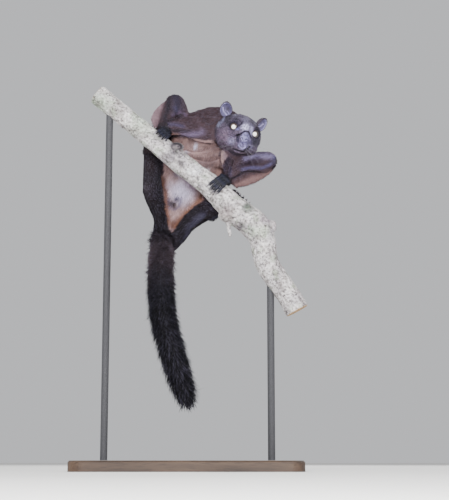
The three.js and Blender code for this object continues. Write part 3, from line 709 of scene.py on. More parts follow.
def add_node(material, kind, inputs=None, **settings):
    """Shader node with its settings, and with the values of its inputs."""
    made = material.node_tree.nodes.new(kind)
    for key, value in settings.items():
        setattr(made, key, value)
    for key, value in (inputs or {}).items():
        made.inputs[key].default_value = value
    return made


def join(material, source, output, target, entry):
    material.node_tree.links.new(source.outputs[output], target.inputs[entry])


def ramp(material, source, output, stops):
    """Colour ramp over a value, from stops of position and linear colour or grey."""
    made = add_node(material, "ShaderNodeValToRGB")
    steps = made.color_ramp.elements
    while len(steps) < len(stops):
        steps.new(0.5)
    for step, (position, colour) in zip(steps, stops):
        step.position = position
        step.color = (*np.broadcast_to(colour, 3), 1)
    join(material, source, output, made, "Fac")
    return made


def bump(material, shader, source, strength, distance, below=None):
    """Bump from a noise; below is a coarser bump that it lies on."""
    made = add_node(material, "ShaderNodeBump", {"Strength": strength, "Distance": distance * MM})
    join(material, source, "Fac", made, "Height")
    if below:
        join(material, below, "Normal", made, "Normal")
    join(material, made, "Normal", shader, "Normal")
    return made


def object_noise(material, scale, detail=3.0, stretch=(1, 1, 1), turn=0.0, roughness=0.55):
    """Noise over the object's own space, scale in features per metre."""
    coordinates = add_node(material, "ShaderNodeTexCoord")
    mapping = add_node(material, "ShaderNodeMapping")
    mapping.inputs["Rotation"].default_value = (0, math.radians(turn), 0)
    mapping.inputs["Scale"].default_value = stretch
    values = {"Scale": scale, "Detail": detail, "Roughness": roughness}
    texture = add_node(material, "ShaderNodeTexNoise", values)
    join(material, coordinates, "Object", mapping, "Vector")
    join(material, mapping, "Vector", texture, "Vector")
    return texture


# Sockets of the Mix node for colours
MIX_BASE, MIX_SHADE, MIX_RESULT = 6, 7, 2


def darkened(material, base, output, noise, stops, strength):
    """Colour of an output, multiplied with a noise that goes through a ramp."""
    tone = ramp(material, noise, "Fac", stops)
    made = add_node(material, "ShaderNodeMix", data_type="RGBA", blend_type="MULTIPLY")
    made.inputs[0].default_value = strength
    join(material, base, output, made, MIX_BASE)
    join(material, tone, "Color", made, MIX_SHADE)
    return made


def stored_colour(material):
    return add_node(material, "ShaderNodeAttribute", attribute_name="coat")


def set_gloss(shader, roughness, specular=0.5, coat=0.0, coat_roughness=0.1, sheen=0.0, sheen_roughness=0.5):
    values = {"Roughness": roughness, "Specular IOR Level": specular, "Coat Weight": coat}
    values |= {"Coat Roughness": coat_roughness, "Sheen Weight": sheen, "Sheen Roughness": sheen_roughness}
    for name, value in values.items():
        shader.inputs[name].default_value = value


def grained_material(name, roughness, specular, noise, stops, strength, relief=None, **gloss):
    """Surface with its stored colour, darkened by a noise of a scale and detail that may also stand out."""
    material, shader = new_material(name, (0.1, 0.1, 0.1), roughness)
    grain = object_noise(material, *noise)
    colour = darkened(material, stored_colour(material), "Color", grain, stops, strength)
    join(material, colour, MIX_RESULT, shader, "Base Color")
    if relief:
        bump(material, shader, grain, *relief)
    set_gloss(shader, roughness, specular, **gloss)
    return material


def fur_material():
    """Hair: fine streaks and a soft sheen."""
    stops = [(0.3, 0.78), (0.7, 1.0)]
    material = grained_material("fur", 0.72, 0.12, (900, 2), stops, 0.8, sheen=0.05, sheen_roughness=0.4)
    shader = material.node_tree.nodes["Principled BSDF"]
    shader.inputs["Sheen Tint"].default_value = (0.85, 0.8, 0.95, 1)
    return material


def hide_material():
    """Skin and short flat fur, with a fine bump that breaks up the light."""
    stops = [(0.3, 0.66), (0.7, 1.0)]
    return grained_material("hide", 0.75, 0.12, (1400, 3), stops, 0.9, (0.6, 0.4), sheen=0.04)


def leather_material(name, roughness, specular, coat, scale):
    """Bare skin of paws, ears and nose, and horn: fine wrinkles and some shine."""
    stops = [(0.35, (0.7, 0.7, 0.72)), (0.65, 1.1)]
    gloss = {"coat": coat, "coat_roughness": 0.3}
    return grained_material(name, roughness, specular, (scale, 3), stops, 0.8, (0.45, 0.3), **gloss)


def place_piece(piece, slot, material, *nodes):
    """Finishes a piece: its material, the body it rides on and the nodes it stands for, which it hides. The
    slot is not used.
    """
    piece.data.materials.append(material)
    piece.data.shade_smooth()
    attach(piece, "root")
    if nodes:
        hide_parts(*nodes)
    return piece


# Coat

# Size of a tuft's patch in the map, size of a lock of tufts, and how deep a tuft starts in the skin
PATCH = 0.003
LOCK_SIZE = 5.0
SUNK = 0.5
MAP_ANGLE = 70
MAP_GAP = 0.004
# How far tufts lean and how much their shade varies, with their lock and each on its own; the share
# of pale tips; the shades of root and tip, and of the skin below, which is painted darker as shade under the
# coat
LOCK_LEAN, OWN_LEAN = 0.38, 0.12
LOCK_SHADE, OWN_SHADE = 0.24, 0.13
PALE_SHARE = 0.25
ROOT_SHADE, TIP_SHADE, SKIN_SHADE = 0.74, 1.1, 0.82
DARKEST = 0.001


def scatter(thing, per_mm2, rng):
    """Roots of tufts on a thing, spread as the density at its vertices says: for each root its three
    vertices, their weights and the three corners of the thing's map there."""
    corners, loops = triangles_of(thing.data)
    points = points_of(thing.data)
    a, b, c = (points[corners[:, k]] for k in range(3))
    area = np.linalg.norm(np.cross(b - a, c - a), axis=1) / 2
    total = np.cumsum(area * per_mm2[corners].mean(1))
    count = int(total[-1])
    pick = np.searchsorted(total, (np.arange(count) + rng.random(count)) * total[-1] / count)
    pick = np.minimum(pick, len(corners) - 1)
    r = np.sqrt(rng.random(count))
    t = rng.random(count)
    weights = np.stack([1 - r, r * (1 - t), r * t], axis=1)
    return corners[pick], weights, loops[pick]


def blend(values, corners, weights):
    """Values at vertices, taken to the roots."""
    values = np.asarray(values, float)
    return (values[corners] * weights.reshape(*weights.shape, *[1] * (values.ndim - 1))).sum(1)


def tufts(name, roots, rings):
    """Mesh of flat tufts with three sides, which leave the skin, bend over along the lie and taper.

    roots holds, for each tuft: point, normal, lie, length, width, rise, bend, sway, base and tip colour, map.
    """
    count = len(roots["point"])
    side = unit(np.cross(roots["normal"], roots["lie"]))
    lie = unit(roots["lie"])
    per = 3 * rings + 1
    points = np.empty((count, per, 3), np.float32)
    colours = np.ones((count, per, 4), np.float32)
    places = np.empty((count, per, 2), np.float32)
    keys = ("length", "width", "rise", "bend", "sway")
    length, width, rise, bend, sway = (roots[key][:, None] for key in keys)
    for k in range(rings + 1):
        share = k / rings
        ahead = share * (1 - 0.12 * share) * length
        height = (rise * share - bend * share**2) * length - SUNK * (1 - share)
        centre = roots["point"] + lie * ahead + roots["normal"] * height + side * (sway * share**2 * length)
        colour = mix(roots["base"], roots["tip"], smooth_step(0.15, 0.95, share))
        if k == rings:
            points[:, -1] = centre
            colours[:, -1, :3] = colour
            places[:, -1] = roots["map"] + (0, PATCH / 2)
            continue
        half = width / 2 * (0.7 + 0.75 * share) * (1 - share) ** 0.35
        colours[:, 3 * k : 3 * k + 3, :3] = colour[:, None]
        up = PATCH * (share - 0.5)
        # The three corners of a ring: to both sides of its centre and above it
        corners = ((-side * half, -PATCH / 2), (side * half, PATCH / 2), (roots["normal"] * half * 0.55, 0))
        for corner, (away, across) in enumerate(corners, 3 * k):
            points[:, corner] = centre + away
            places[:, corner] = roots["map"] + (across, up)
    faces = [(0, 2, 1)]
    for k in range(0, 3 * (rings - 1), 3):
        for a, b in ((k, k + 1), (k + 1, k + 2), (k + 2, k)):
            faces += [(a, b, b + 3), (a, b + 3, a + 3)]
    last = 3 * (rings - 1)
    faces += [(last + s, last + (s + 1) % 3, per - 1) for s in range(3)]
    index = (np.array(faces)[None] + (np.arange(count) * per)[:, None, None]).reshape(-1)
    return triangle_object(name, points.reshape(-1, 3), index, colours.reshape(-1, 4), places.reshape(-1, 2))


def triangle_object(name, points, index, colours, places):
    """Object of triangles with a colour and a place in the map at each vertex."""
    mesh = bpy.data.meshes.new(name)
    mesh.vertices.add(len(points))
    mesh.vertices.foreach_set("co", (points * MM).astype(np.float32).ravel())
    mesh.loops.add(len(index))
    mesh.loops.foreach_set("vertex_index", index.astype(np.int32))
    count = len(index) // 3
    mesh.polygons.add(count)
    mesh.polygons.foreach_set("loop_start", np.arange(0, 3 * count, 3, dtype=np.int32))
    mesh.polygons.foreach_set("loop_total", np.full(count, 3, np.int32))
    mesh.update(calc_edges=True)
    mesh.shade_smooth()
    paint(mesh, colours)
    layer = mesh.uv_layers.new(name="OFBake")
    layer.data.foreach_set("uv", places[index].astype(np.float32).ravel())
    return linked(name, mesh)


def paint(mesh, colours):
    """Stores colours at the vertices, for the materials to read."""
    if colours.shape[1] == 3:
        colours = np.hstack([colours, np.ones((len(colours), 1))])
    layer = mesh.color_attributes.new("coat", "FLOAT_COLOR", "POINT")
    layer.data.foreach_set("color", colours.astype(np.float32).ravel())


def unwrap(thing):
    """Map of the thing's own shape, which its tufts share."""
    bpy.context.view_layer.objects.active = thing
    thing.select_set(True)
    bpy.ops.object.mode_set(mode="EDIT")
    bpy.ops.mesh.select_all(action="SELECT")
    bpy.ops.uv.smart_project(angle_limit=math.radians(MAP_ANGLE), island_margin=MAP_GAP)
    bpy.ops.object.mode_set(mode="OBJECT")
    thing.select_set(False)
    thing.data.uv_layers[0].name = "OFBake"
    return rows_of(thing.data.uv_layers[0].data, "uv", 2)


def tuft_roots(thing, fields, rng):
    """Roots of a thing's tufts, from fields that are numbers or values at its vertices: colour, lie,
    length, width, per_mm2, rise, bend and grizzle, the share of pale tips. Also gives the vertex that
    each root is nearest to."""
    points, normals = points_of(thing.data), normals_of(thing.data)
    maps = unwrap(thing)
    for key, value in fields.items():
        fields[key] = np.full(len(points), value) if np.isscalar(value) else value
    corners, weights, loops = scatter(thing, fields["per_mm2"], rng)
    count = len(corners)
    normal, point = (blend(values, corners, weights) for values in (normals, points))
    normal = unit(normal)
    at = {key: blend(values, corners, weights) for key, values in fields.items()}
    # Neighbouring tufts lean together into locks, which are lighter or darker as a whole
    locks = np.stack([mottling(point + 100 * k, LOCK_SIZE, 2) for k in range(4)], axis=1)
    lie = at["lie"] + LOCK_LEAN * locks[:, :3] + rng.normal(0, OWN_LEAN, (count, 3))
    lie = unit(lie - normal * (lie * normal).sum(1)[:, None])
    base = at["colour"]
    shade = (1 + LOCK_SHADE * locks[:, 3:]) * rng.normal(1, OWN_SHADE, (count, 1))
    pale = (rng.random(count) < PALE_SHARE)[:, None]
    grizzled = mix(base, in_coat(PALE), (0.12 + at["grizzle"])[:, None])
    tip = np.where(pale, grizzled, base * TIP_SHADE) * shade
    roots = {
        "point": point,
        "normal": normal,
        "lie": lie,
        "length": at["length"] * rng.uniform(0.75, 1.2, count),
        "width": at["width"] * rng.uniform(0.8, 1.2, count),
        "rise": at["rise"] * rng.uniform(0.75, 1.25, count),
        "bend": at["bend"] * rng.uniform(0.8, 1.2, count),
        "sway": rng.normal(0, 0.06, count),
        "base": np.clip(base * ROOT_SHADE * shade, DARKEST, 1),
        "tip": np.clip(tip, DARKEST, 1),
        "map": (maps[loops] * weights[..., None]).sum(1),
    }
    return roots, corners[np.arange(count), weights.argmax(1)]


def coat_piece(name, slot, roots, rings, material, mine=slice(None)):
    """Piece of the roots that are its own, or of all."""
    made = tufts(name, {key: value[mine] for key, value in roots.items()}, rings)
    return place_piece(made, slot, material)


# Colours, as the eye sees them from 0 to 255

def srgb(red, green, blue):
    """Linear colour of a colour given as the eye sees it."""
    values = np.array([red, green, blue]) / 255
    return np.where(values <= 0.04045, values / 12.92, ((values + 0.055) / 1.055) ** 2.4)


# What makes a colour of hair or skin look like a given one in the studio's light
COAT_GAIN = 1.1
COAT_POWER = 1.35
COAT_CAST = np.array([1.0, 1.02, 1.2])


def in_coat(colour):
    return COAT_GAIN * colour**COAT_POWER * COAT_CAST

MAROON = srgb(98, 81, 82)
CHOCOLATE = srgb(53, 43, 47)
TAN = srgb(186, 160, 150)
NEAR_BLACK = srgb(25, 24, 27)
TAIL_BROWN = srgb(98, 86, 86)
DARK_BAND = srgb(46, 38, 42)
WEB_GREY = srgb(88, 84, 96)
PALE = srgb(178, 172, 186)
HAND = srgb(30, 30, 40)

ARM_TONES = {"membrane_arm_right": srgb(166, 143, 142), "membrane_arm_left": srgb(150, 124, 116)}
DARK_NODES = ["rump", *both("thigh", "shin", "membrane_flank", "membrane_tail")]

# Underside of the trunk as the photo shows it, an outline in its pixels
VENTRAL = [
    (166, 131), (174, 133), (179.3, 134.4), (186.6, 137.2), (195, 139.4), (205.5, 140.4),
    (212.9, 140.4), (217.4, 146), (222.6, 150.5), (227.6, 155.6), (223.4, 161.5), (222, 168),
    (220.2, 176), (212, 186), (204.9, 193.4), (203.3, 199), (199, 203), (192.3, 206.9),
    (184.4, 216.1), (179.1, 222.7), (175, 230), (169.5, 229.3), (168.6, 220.1), (166.8, 209.6),
    (165.2, 197.7), (163.4, 187.2), (158.4, 179), (165, 170.7), (162, 160), (157, 148), (161, 136),
]
# Patches on it: place, half sizes, colour, strength
VENTRAL_PATCHES = [
    ((172, 136), (7, 4.5), (160, 124, 104), 0.9),
    ((182, 140), (5, 3), (190, 162, 150), 0.7),
    ((205, 162), (9, 4), (162, 140, 134), 0.7),
    ((211, 169), (5, 4), (194, 166, 156), 0.8),
    ((227, 154), (4, 6), (146, 128, 132), 0.7),
    ((219, 173), (4, 6), (176, 144, 128), 0.7),
    ((196, 145.2), (1.9, 2.8), (226, 222, 232), 0.95),
    ((186, 152.4), (3.2, 2.2), (206, 202, 206), 0.8),
    ((207, 167.5), (3.5, 1.6), (212, 206, 206), 0.75),
    ((181, 172), (6, 3), (194, 190, 200), 0.8),
    ((182, 190), (14, 14), (222, 214, 222), 1.0),
    ((192, 184), (8, 5), (190, 174, 178), 0.8),
    ((176, 178), (3.4, 4.6), (168, 146, 138), 0.7),
    ((162, 179.5), (4.2, 5), (148, 112, 92), 0.9),
    ((176, 211), (6.5, 7), (192, 168, 158), 0.9),
    ((175, 223), (6, 5), (118, 88, 74), 0.9),
]
# Lines on it: line, width, colour, strength
VENTRAL_LINES = [
    ([(203, 193.5), (199.5, 200.5), (194, 205.5), (187.5, 211.5), (181.5, 218.5), (177, 225)],
     3.8, (152, 114, 90), 0.92),
    ([(159.6, 177), (162.4, 183), (165.4, 189), (166.6, 198), (167.6, 208), (169.4, 220)],
     2.2, (146, 108, 86), 0.9),
    ([(204.2, 192.6), (202.6, 197)], 0.9, (214, 186, 184), 0.8),
    ([(170, 198), (169.6, 203), (172, 207), (177, 206), (181, 201), (181.5, 197)], 1.1, (142, 134, 152), 0.8),
    ([(177, 196.6), (178.2, 197.2)], 2.3, (84, 78, 92), 0.98),
    ([(172.6, 202.5), (173.6, 203)], 3.5, (62, 54, 54), 0.98),
    # Painted shade along the folds of the chest and the throat
    (CHEST_FOLD, 1.3, (146, 122, 118), 0.7),
    (THROAT_FOLD, 1.2, (158, 134, 130), 0.5),
]
LEG_NODES = [*both("thigh", "shin"), "membrane_flank_right"]
LEG_LINES = [
    ([(150, 146), (152, 158), (150, 168)], 5.0, (62, 47, 47), 0.7),
    ([(146, 187), (147.5, 200)], 3.0, (80, 72, 74), 0.8),
    ([(158, 178), (160, 195), (161, 212), (160, 232)], 4.4, (38, 33, 38), 0.85),
    ([(208, 197), (212, 203)], 3.4, (72, 72, 86), 0.7),
    ([(214, 203), (215, 207)], 1.3, (128, 124, 136), 0.5),
    ([(203, 211), (197, 219), (189, 227)], 3.0, (62, 57, 68), 0.8),
]
# Lines of the arms: line, width, colour, strength. Beside the coat's own marks, the pale lilac lines along
# ridges and edges are painted sheen, and the dark lines in the folds are painted shade
ARM_LINES = [
    ([(176, 94), (178, 108)], 6.5, (74, 69, 84), 0.85),
    ([(175, 107), (177, 111)], 2.2, (106, 100, 124), 0.55),
    ([(169, 99), (168, 109), (165, 118)], 2.2, (50, 44, 52), 0.85),
    ([(166.8, 99), (169.6, 95)], 0.7, (126, 112, 122), 0.7),
    ([(172.4, 114.5), (180, 113.4), (186.5, 115.5)], 1.6, (124, 108, 126), 0.75),
    ([(165.5, 121), (173, 119.6), (181, 117)], 2.2, (58, 46, 51), 0.92),
    ([(167, 124.4), (176, 124.4), (184, 126.4)], 2.2, (112, 103, 122), 0.8),
    ([(167, 129.4), (176, 130.6), (184, 131), (192, 131.5)], 1.7, (66, 56, 61), 0.85),
    ([(185, 135.8), (194, 134.6), (203, 132)], 3.2, (146, 132, 150), 0.85),
    ([(189, 118.5), (190, 122)], 2.6, (72, 57, 60), 0.6),
    ([(208, 116), (211, 122)], 2.0, (118, 106, 126), 0.5),
    ([(246, 157.5), (255, 156), (264, 155.5), (273, 156)], 3.4, (168, 158, 182), 0.95),
    ([(238, 166), (250, 162.4), (262, 161.4)], 2.0, (88, 74, 86), 0.75),
    ([(243, 169.2), (253, 167.2), (263, 167.6), (272, 163.5)], 1.8, (118, 113, 142), 0.85),
    ([(274, 157), (276, 163)], 2.4, (92, 90, 112), 0.7),
    ([(229, 158), (226, 166), (223, 176)], 3.2, (74, 65, 76), 0.8),
    ([(230.6, 167), (231.4, 175)], 1.4, (112, 103, 124), 0.7),
    # Painted shade in the elbow and wrist folds
    (ELBOW_FOLD, 1.1, (32, 26, 36), 0.9),
    *((line, 0.9, (44, 34, 44), 0.7) for line in WRIST_FOLDS),
]
# Patches of the face: place in the photo's frame, half sizes, colour, strength
FACE_TONES = [
    ((223.5, 138), (9, 9.5), (132, 115, 126), 0.9),
    ((226, 148.5), (9, 5), (108, 92, 100), 0.85),
    ((238.5, 114.5), (9, 5.5), (104, 98, 110), 0.7),
    ((253.5, 121.5), (5, 6), (92, 87, 97), 0.8),
    ((228.6, 119.2), (4.6, 8), (72, 65, 72), 0.92),
    ((221.6, 113.6), (1.8, 3), (84, 76, 88), 0.7),
    ((219.3, 116.4), (1.6, 3.6), (150, 147, 164), 0.85),
    ((218.8, 124.6), (2.2, 2.8), (196, 198, 212), 0.97),
    ((223.4, 119.8), (1.2, 2.6), (144, 142, 162), 0.8),
    ((245.6, 121), (3.6, 4), (144, 140, 154), 0.65),
    ((245.3, 127.3), (4.8, 3.7), (196, 192, 208), 0.97),
    ((251.6, 130.4), (2.0, 5), (172, 168, 188), 0.9),
    ((231.2, 141), (3.8, 4.3), (164, 156, 178), 0.95),
    ((255.2, 141.5), (4.8, 5), (72, 69, 79), 0.9),
    ((250, 146.8), (3, 3), (140, 134, 156), 0.75),
    ((261.5, 134.8), (1.4, 3), (124, 123, 142), 0.8),
    ((235.2, 124.4), (5.0, 5.3), (70, 63, 77), 0.92),
    ((234.4, 125.4), (3.3, 3.3), (50, 44, 58), 0.85),
    ((257.2, 133), (3.8, 5.8), (58, 52, 62), 0.95),
    ((237.6, 128.9), (2.6, 1.3), (144, 140, 176), 0.85),
    ((242, 123.2), (1.5, 2.0), (68, 60, 74), 0.75),
    ((245.8, 136.8), (4.6, 5.2), (148, 144, 172), 0.97),
    ((242.6, 138.5), (0.9, 1.4), (74, 68, 94), 0.85),
    ((246.4, 139.6), (1.5, 1.2), (104, 99, 128), 0.7),
    ((243.6, 144), (5.0, 4.2), (138, 132, 160), 0.92),
    ((249.6, 142), (2.2, 2.6), (112, 106, 128), 0.7),
    # Painted shade at the left end of the arch, in the furrow beside the muzzle
    ((237.8, 139.2), (1.6, 3.8), (62, 57, 76), 0.92),
    ((238.4, 135.1), (2.0, 1.3), (42, 36, 46), 0.95),
    ((242.6, 154.4), (10, 3.0), (84, 69, 74), 0.85),
]
# Colours of the face's furrows, with painted shade along the arch, the mouth and the groove,
# and lines of its hair with their colours: width, colour, strength
FACE_LINES = {
    "arch": (0.72, (24, 18, 28), 0.97),
    "mouth": (0.66, (32, 26, 36), 0.97),
    "lip": (0.7, (178, 172, 202), 0.85),
    "groove": (0.55, (80, 66, 78), 0.85),
    "brow": (0.65, (34, 28, 40), 0.92),
    "corner": (0.6, (42, 36, 50), 0.88),
    "under": (0.6, (82, 72, 86), 0.75),
}
HAIR_LINES = [
    ([(241.2, 142), (243.8, 142.7), (246.6, 141.7), (248.5, 140.1)], 0.5, (92, 86, 112), 0.75),
    ([(229, 132), (235.4, 135.4)], 0.46, (82, 72, 88), 0.8),
    ([(228.4, 134), (234.4, 137.4)], 0.46, (82, 72, 88), 0.8),
    ([(228.6, 136.2), (232.8, 138.6)], 0.46, (86, 76, 92), 0.75),
    ([(228.8, 138.4), (232, 140)], 0.42, (98, 88, 104), 0.6),
    ([(236.4, 113.6), (235.6, 116.2)], 0.6, (176, 172, 186), 0.7),
    ([(224.8, 118.6), (222.6, 121.6), (219.6, 124.6)], 0.7, (168, 170, 190), 0.85),
    ([(252.6, 119.4), (255.6, 124)], 0.5, (150, 144, 158), 0.6),
    ([(231, 147.5), (236, 148.8)], 0.6, (96, 84, 92), 0.5),
    ([(216.5, 129), (219, 140), (224, 149)], 1.2, (104, 88, 98), 0.5),
]


def laid(colour, tone, share):
    """Colour with a tone over it, given as the eye sees it."""
    return mix(colour, srgb(*tone), np.asarray(share)[:, None])


def toned(colour, place, patches):
    """Colour with patches laid over it one after the other."""
    for at, sizes, tone, strength in patches:
        gap = (((place - at) / sizes) ** 2).sum(1)
        colour = laid(colour, tone, strength * np.exp(-(gap**1.5)))
    return colour


def lined(colour, place, lines):
    for line, width, tone, strength in lines:
        colour = laid(colour, tone, strength * bell(away_from_line(place, curved(line)), width))
    return colour


def mottling(points, size, octaves=3):
    """Slow random variation over the body, about -1 to 1."""
    return np.array([noise.fractal(Vector(point) / size, 1.0, 2.0, octaves) for point in points.tolist()])


def mottled(colour, points, size, share):
    """Colour that is a share lighter or darker from place to place."""
    return colour * (1 + share * mottling(points, size))[:, None]


def face_colours(points):
    """Colours of the head: grizzled grey with a pale bridge, dark patches round the eyes, a lilac
    muzzle under a dark arch of painted shade, and a mouth dark with painted shade."""
    place = in_head(points)
    front = smooth_step(-26, -10, place[:, 2])[:, None]
    seen = picture_place(points)
    face = toned(np.broadcast_to(srgb(112, 101, 112), place.shape), seen, FACE_TONES)
    flecks = np.clip(mottling(points * (1, 1, 0.6), 1.7, 2) * 1.8, -1, 1)[:, None]
    face = face * (1 + 0.42 * flecks)
    # Painted shade along the arch, the mouth and the groove over the lip, from the furrows' lines
    face = lined(face, seen, [(FACE_FURROWS[name][0], *look) for name, look in FACE_LINES.items()])
    face = lined(face, seen, HAIR_LINES)
    back = laid(MAROON, (92, 79, 84), smooth_step(-40, -14, place[:, 2]))
    return mix(back, face, front)


BELLY_NODES = [*TRUNK_NODES, *both("thigh", "membrane_front")]


def coat_colours(points, normals, region, edges):
    """Colour of the coat at each vertex of the skin."""
    tones = {**dict.fromkeys(REGIONS, MAROON), **dict.fromkeys(DARK_NODES, CHOCOLATE), **ARM_TONES}
    tones["tail"] = DARK_BAND
    front = smooth_step(-0.1, 0.35, -normals[:, 1])
    colour = np.array([tones[name] for name in REGIONS])[region]
    strip = region_mask(region, ARM_TONES)
    colour[strip] = mix(MAROON, colour[strip], front[strip, None])
    soft = relax(colour, edges, 40)
    colour = mix(soft, relax(colour, edges, 6), (strip * front)[:, None])

    place = picture_place(points)
    trunk = relax(region_mask(region, TRUNK_NODES).astype(float), edges, 3)
    within = inside_of(place, VENTRAL)
    under = toned(np.broadcast_to(TAN, points.shape), place, VENTRAL_PATCHES)
    under = lined(under, place, VENTRAL_LINES)
    web = smooth_step(5, 13, -within) * smooth_step(178, 190, place[:, 0])
    beside = mix(DARK_BAND, WEB_GREY, web[:, None])
    low = smooth_step(178, 186, place[:, 1]) * trunk * front
    colour = mix(colour, beside, low[:, None])
    uneven = 1 + 0.5 * mottling(points + 40, 7, 2)[:, None]
    for nodes, lines in ((ARM_NODES, ARM_LINES), (LEG_NODES, LEG_LINES)):
        limbs = region_mask(region, nodes) & ~strip
        share = relax(limbs * front, edges, 2)[:, None] * np.clip(uneven, 0, 1.2)
        colour = mix(colour, lined(colour, place, lines), np.clip(share, 0, 1))
    belly = relax(region_mask(region, BELLY_NODES).astype(float), edges, 3)
    belly *= smooth_step(480, 474, points[:, 2] - 0.1 * points[:, 0])
    ventral = smooth_step(-1.1, 0.7, within) * belly * front
    colour = mix(colour, under, ventral[:, None])

    head = relax((region == HEAD_REGION).astype(float), edges, 5)[:, None]
    colour = mix(colour, face_colours(points), head)
    down = tail_share(points)
    shift = 0.05 * mottling(points, 18)
    dark = mix(TAIL_BROWN, NEAR_BLACK, smooth_step(0.2, 0.5, down + shift)[:, None])
    colour = mix(colour, dark, smooth_step(0.02, 0.14, down)[:, None])
    return np.clip(mottled(in_coat(colour), points, 9, 0.2), DARKEST, 1)


def tail_share(points):
    """How far along the tail each point is, from 0 at its root to 1, or 0 off the tail."""
    share = np.zeros(len(points))
    low = points[:, 2] < TAIL["root"][2] + 4
    gap = np.linalg.norm(points[low, None] - TAIL_POINTS[None], axis=2)
    share[low] = np.where(gap.min(1) < 24, TAIL_DISTANCES[gap.argmin(1)] / TAIL["length"], 0)
    return share


def lie_directions(points, normals, region, edges):
    """Lie of the coat at each vertex, along the skin. On the head it runs away from the nose, over
    the face and back to the neck."""
    lies = by_region(region, LIE)
    head = region == HEAD_REGION
    away = in_head(points[head]) - np.array([0, -15, 30])
    away[:, 2] -= 14
    lies[head] = unit(away) @ HEAD_AXES
    tail = region == TAIL_REGION
    along = unit(np.gradient(TAIL_POINTS, axis=0))
    lies[tail] = along[np.linalg.norm(points[tail, None] - TAIL_POINTS[None], axis=2).argmin(1)]
    lies = relax(lies, edges, 12)
    lies -= normals * (lies * normals).sum(1)[:, None]
    return unit(lies)


# Coat of the body: tufts per square millimetre, how steeply they leave the skin and bend back, and
# the share with pale tips
BODY_STANCE = {"head": (1.05, 0.32, 0.20, 0.28), "tail": (1.55, 0.50, 0.17, 0.12)}
PLAIN_STANCE = (0.74, 0.32, 0.22, 0.1)
TAIL_PARTS = (0.36, 0.68)


def body_fields(points, normals, region, edges):
    """Fields of the body's coat at the skin's vertices."""
    stance = np.array([BODY_STANCE.get(name, PLAIN_STANCE) for name in REGIONS])[region]
    density, rise, bend, grizzle = relax(stance, edges, 8).T
    length = relax(by_region(region, LENGTH), edges, 24)
    width = relax(by_region(region, WIDTH), edges, 6)
    place = in_head(points)
    head = region == HEAD_REGION
    face = smooth_step(-18, 6, place[:, 2]) * head
    muzzle = smooth_step(6, 16, place[:, 2]) * head
    length = length * (1 - 0.35 * face) * (1 - 0.5 * muzzle) + 3.0 * head * (1 - face)
    bare = (((place - NOSE["at"]) / np.add(NOSE["half"], 0.8)) ** 2).sum(1) < 1
    for side in (-1, 1):
        _, distance, angle = from_eye(place, side)
        bare |= (distance < EYE["radius"] + 4) & (angle < EYE["open"] + 8)
    down = tail_share(points)
    thin = smooth_step(0.85, 0.97, down)
    return {
        "colour": coat_colours(points, normals, region, edges),
        "lie": lie_directions(points, normals, region, edges),
        "length": length * (1 - 0.25 * thin),
        "width": width * (1 - 0.25 * muzzle),
        "per_mm2": np.where(bare, 0, density * (1 + 0.7 * face)),
        "rise": rise * (1 + 0.15 * muzzle),
        "bend": bend,
        "grizzle": grizzle * (1 - 0.75 * smooth_step(0.2, 0.6, down)),
    }


COAT_PIECES = {
    # piece: material slot, regions of the skin
    "coat_head": ("face_fur", ["head"]),
    "coat_belly": ("belly_fur", TRUNK),
    "coat_back": ("back_fur", TRUNK),
    "coat_arms": ("back_fur", both("upper_arm", "forearm")),
    "coat_legs": ("back_fur", both("thigh", "shin")),
    "coat_membranes": ("membrane", [name for name in SKIN_NODES if name.startswith("membrane")]),
}


def body_coat(skin, region, rng, material):
    """Tufts of the body's coat, in pieces by part of the body."""
    mesh = skin.data
    fields = body_fields(points_of(mesh), normals_of(mesh), region, edges_of(mesh))
    # Painted shade: the skin under the coat is painted darker than the hair
    paint(mesh, fields["colour"] * SKIN_SHADE)
    roots, vertex = tuft_roots(skin, fields, rng)
    owner = region[vertex]
    belly_side = roots["normal"][:, 1] < 0
    down = tail_share(roots["point"])
    for piece, (slot, members) in COAT_PIECES.items():
        mine = region_mask(owner, members)
        if members == TRUNK:
            mine &= belly_side if piece == "coat_belly" else ~belly_side
        coat_piece(piece, slot, roots, 2, material, mine)
    limits = [-1, *TAIL_PARTS, 2]
    for number, (low, high) in enumerate(zip(limits[:-1], limits[1:]), 1):
        mine = (owner == TAIL_REGION) & (down >= low) & (down < high)
        coat_piece(f"coat_tail_{number}", "tail_hair", roots, 3, material, mine)


# Ears: middle in the head's frame, side, degrees turned out, scale; profile of the cup from the middle
# of its back over the rim to the middle of its hollow, as share of the half sizes and height
EARS = {"right": ((-30.6, 23.4, -29.5), -1, 12, 0.96), "left": ((23.6, 19.8, -28.5), 1, 46, 0.9)}
EAR_HALF = (9.4, 11.6)
EAR_LEAN = 14
EAR_PROFILE = [
    (0.0, -5.4), (0.35, -5.2), (0.7, -4.2), (0.92, -1.8), (1.0, 1.0), (1.0, 2.6), (0.95, 3.3),
    (0.88, 2.4), (0.8, 0.0), (0.62, -2.4), (0.35, -3.6), (0.0, -4.0),
]
# Steps along the profile, the last of them on the back and rim, and points round the cup
EAR_STEPS, EAR_BACK, EAR_SIDES = 45, 26, 60
# Folds in the hollow, in shares of the half sizes: line, width, height
EAR_FOLDS = [
    ([(-0.52, 0.3), (-0.42, -0.1), (0.0, -0.5), (0.4, -0.86)], 0.13, 2.6),
    ([(-0.1, 0.05), (0.3, -0.2), (0.5, -0.5)], 0.1, 1.5),
]


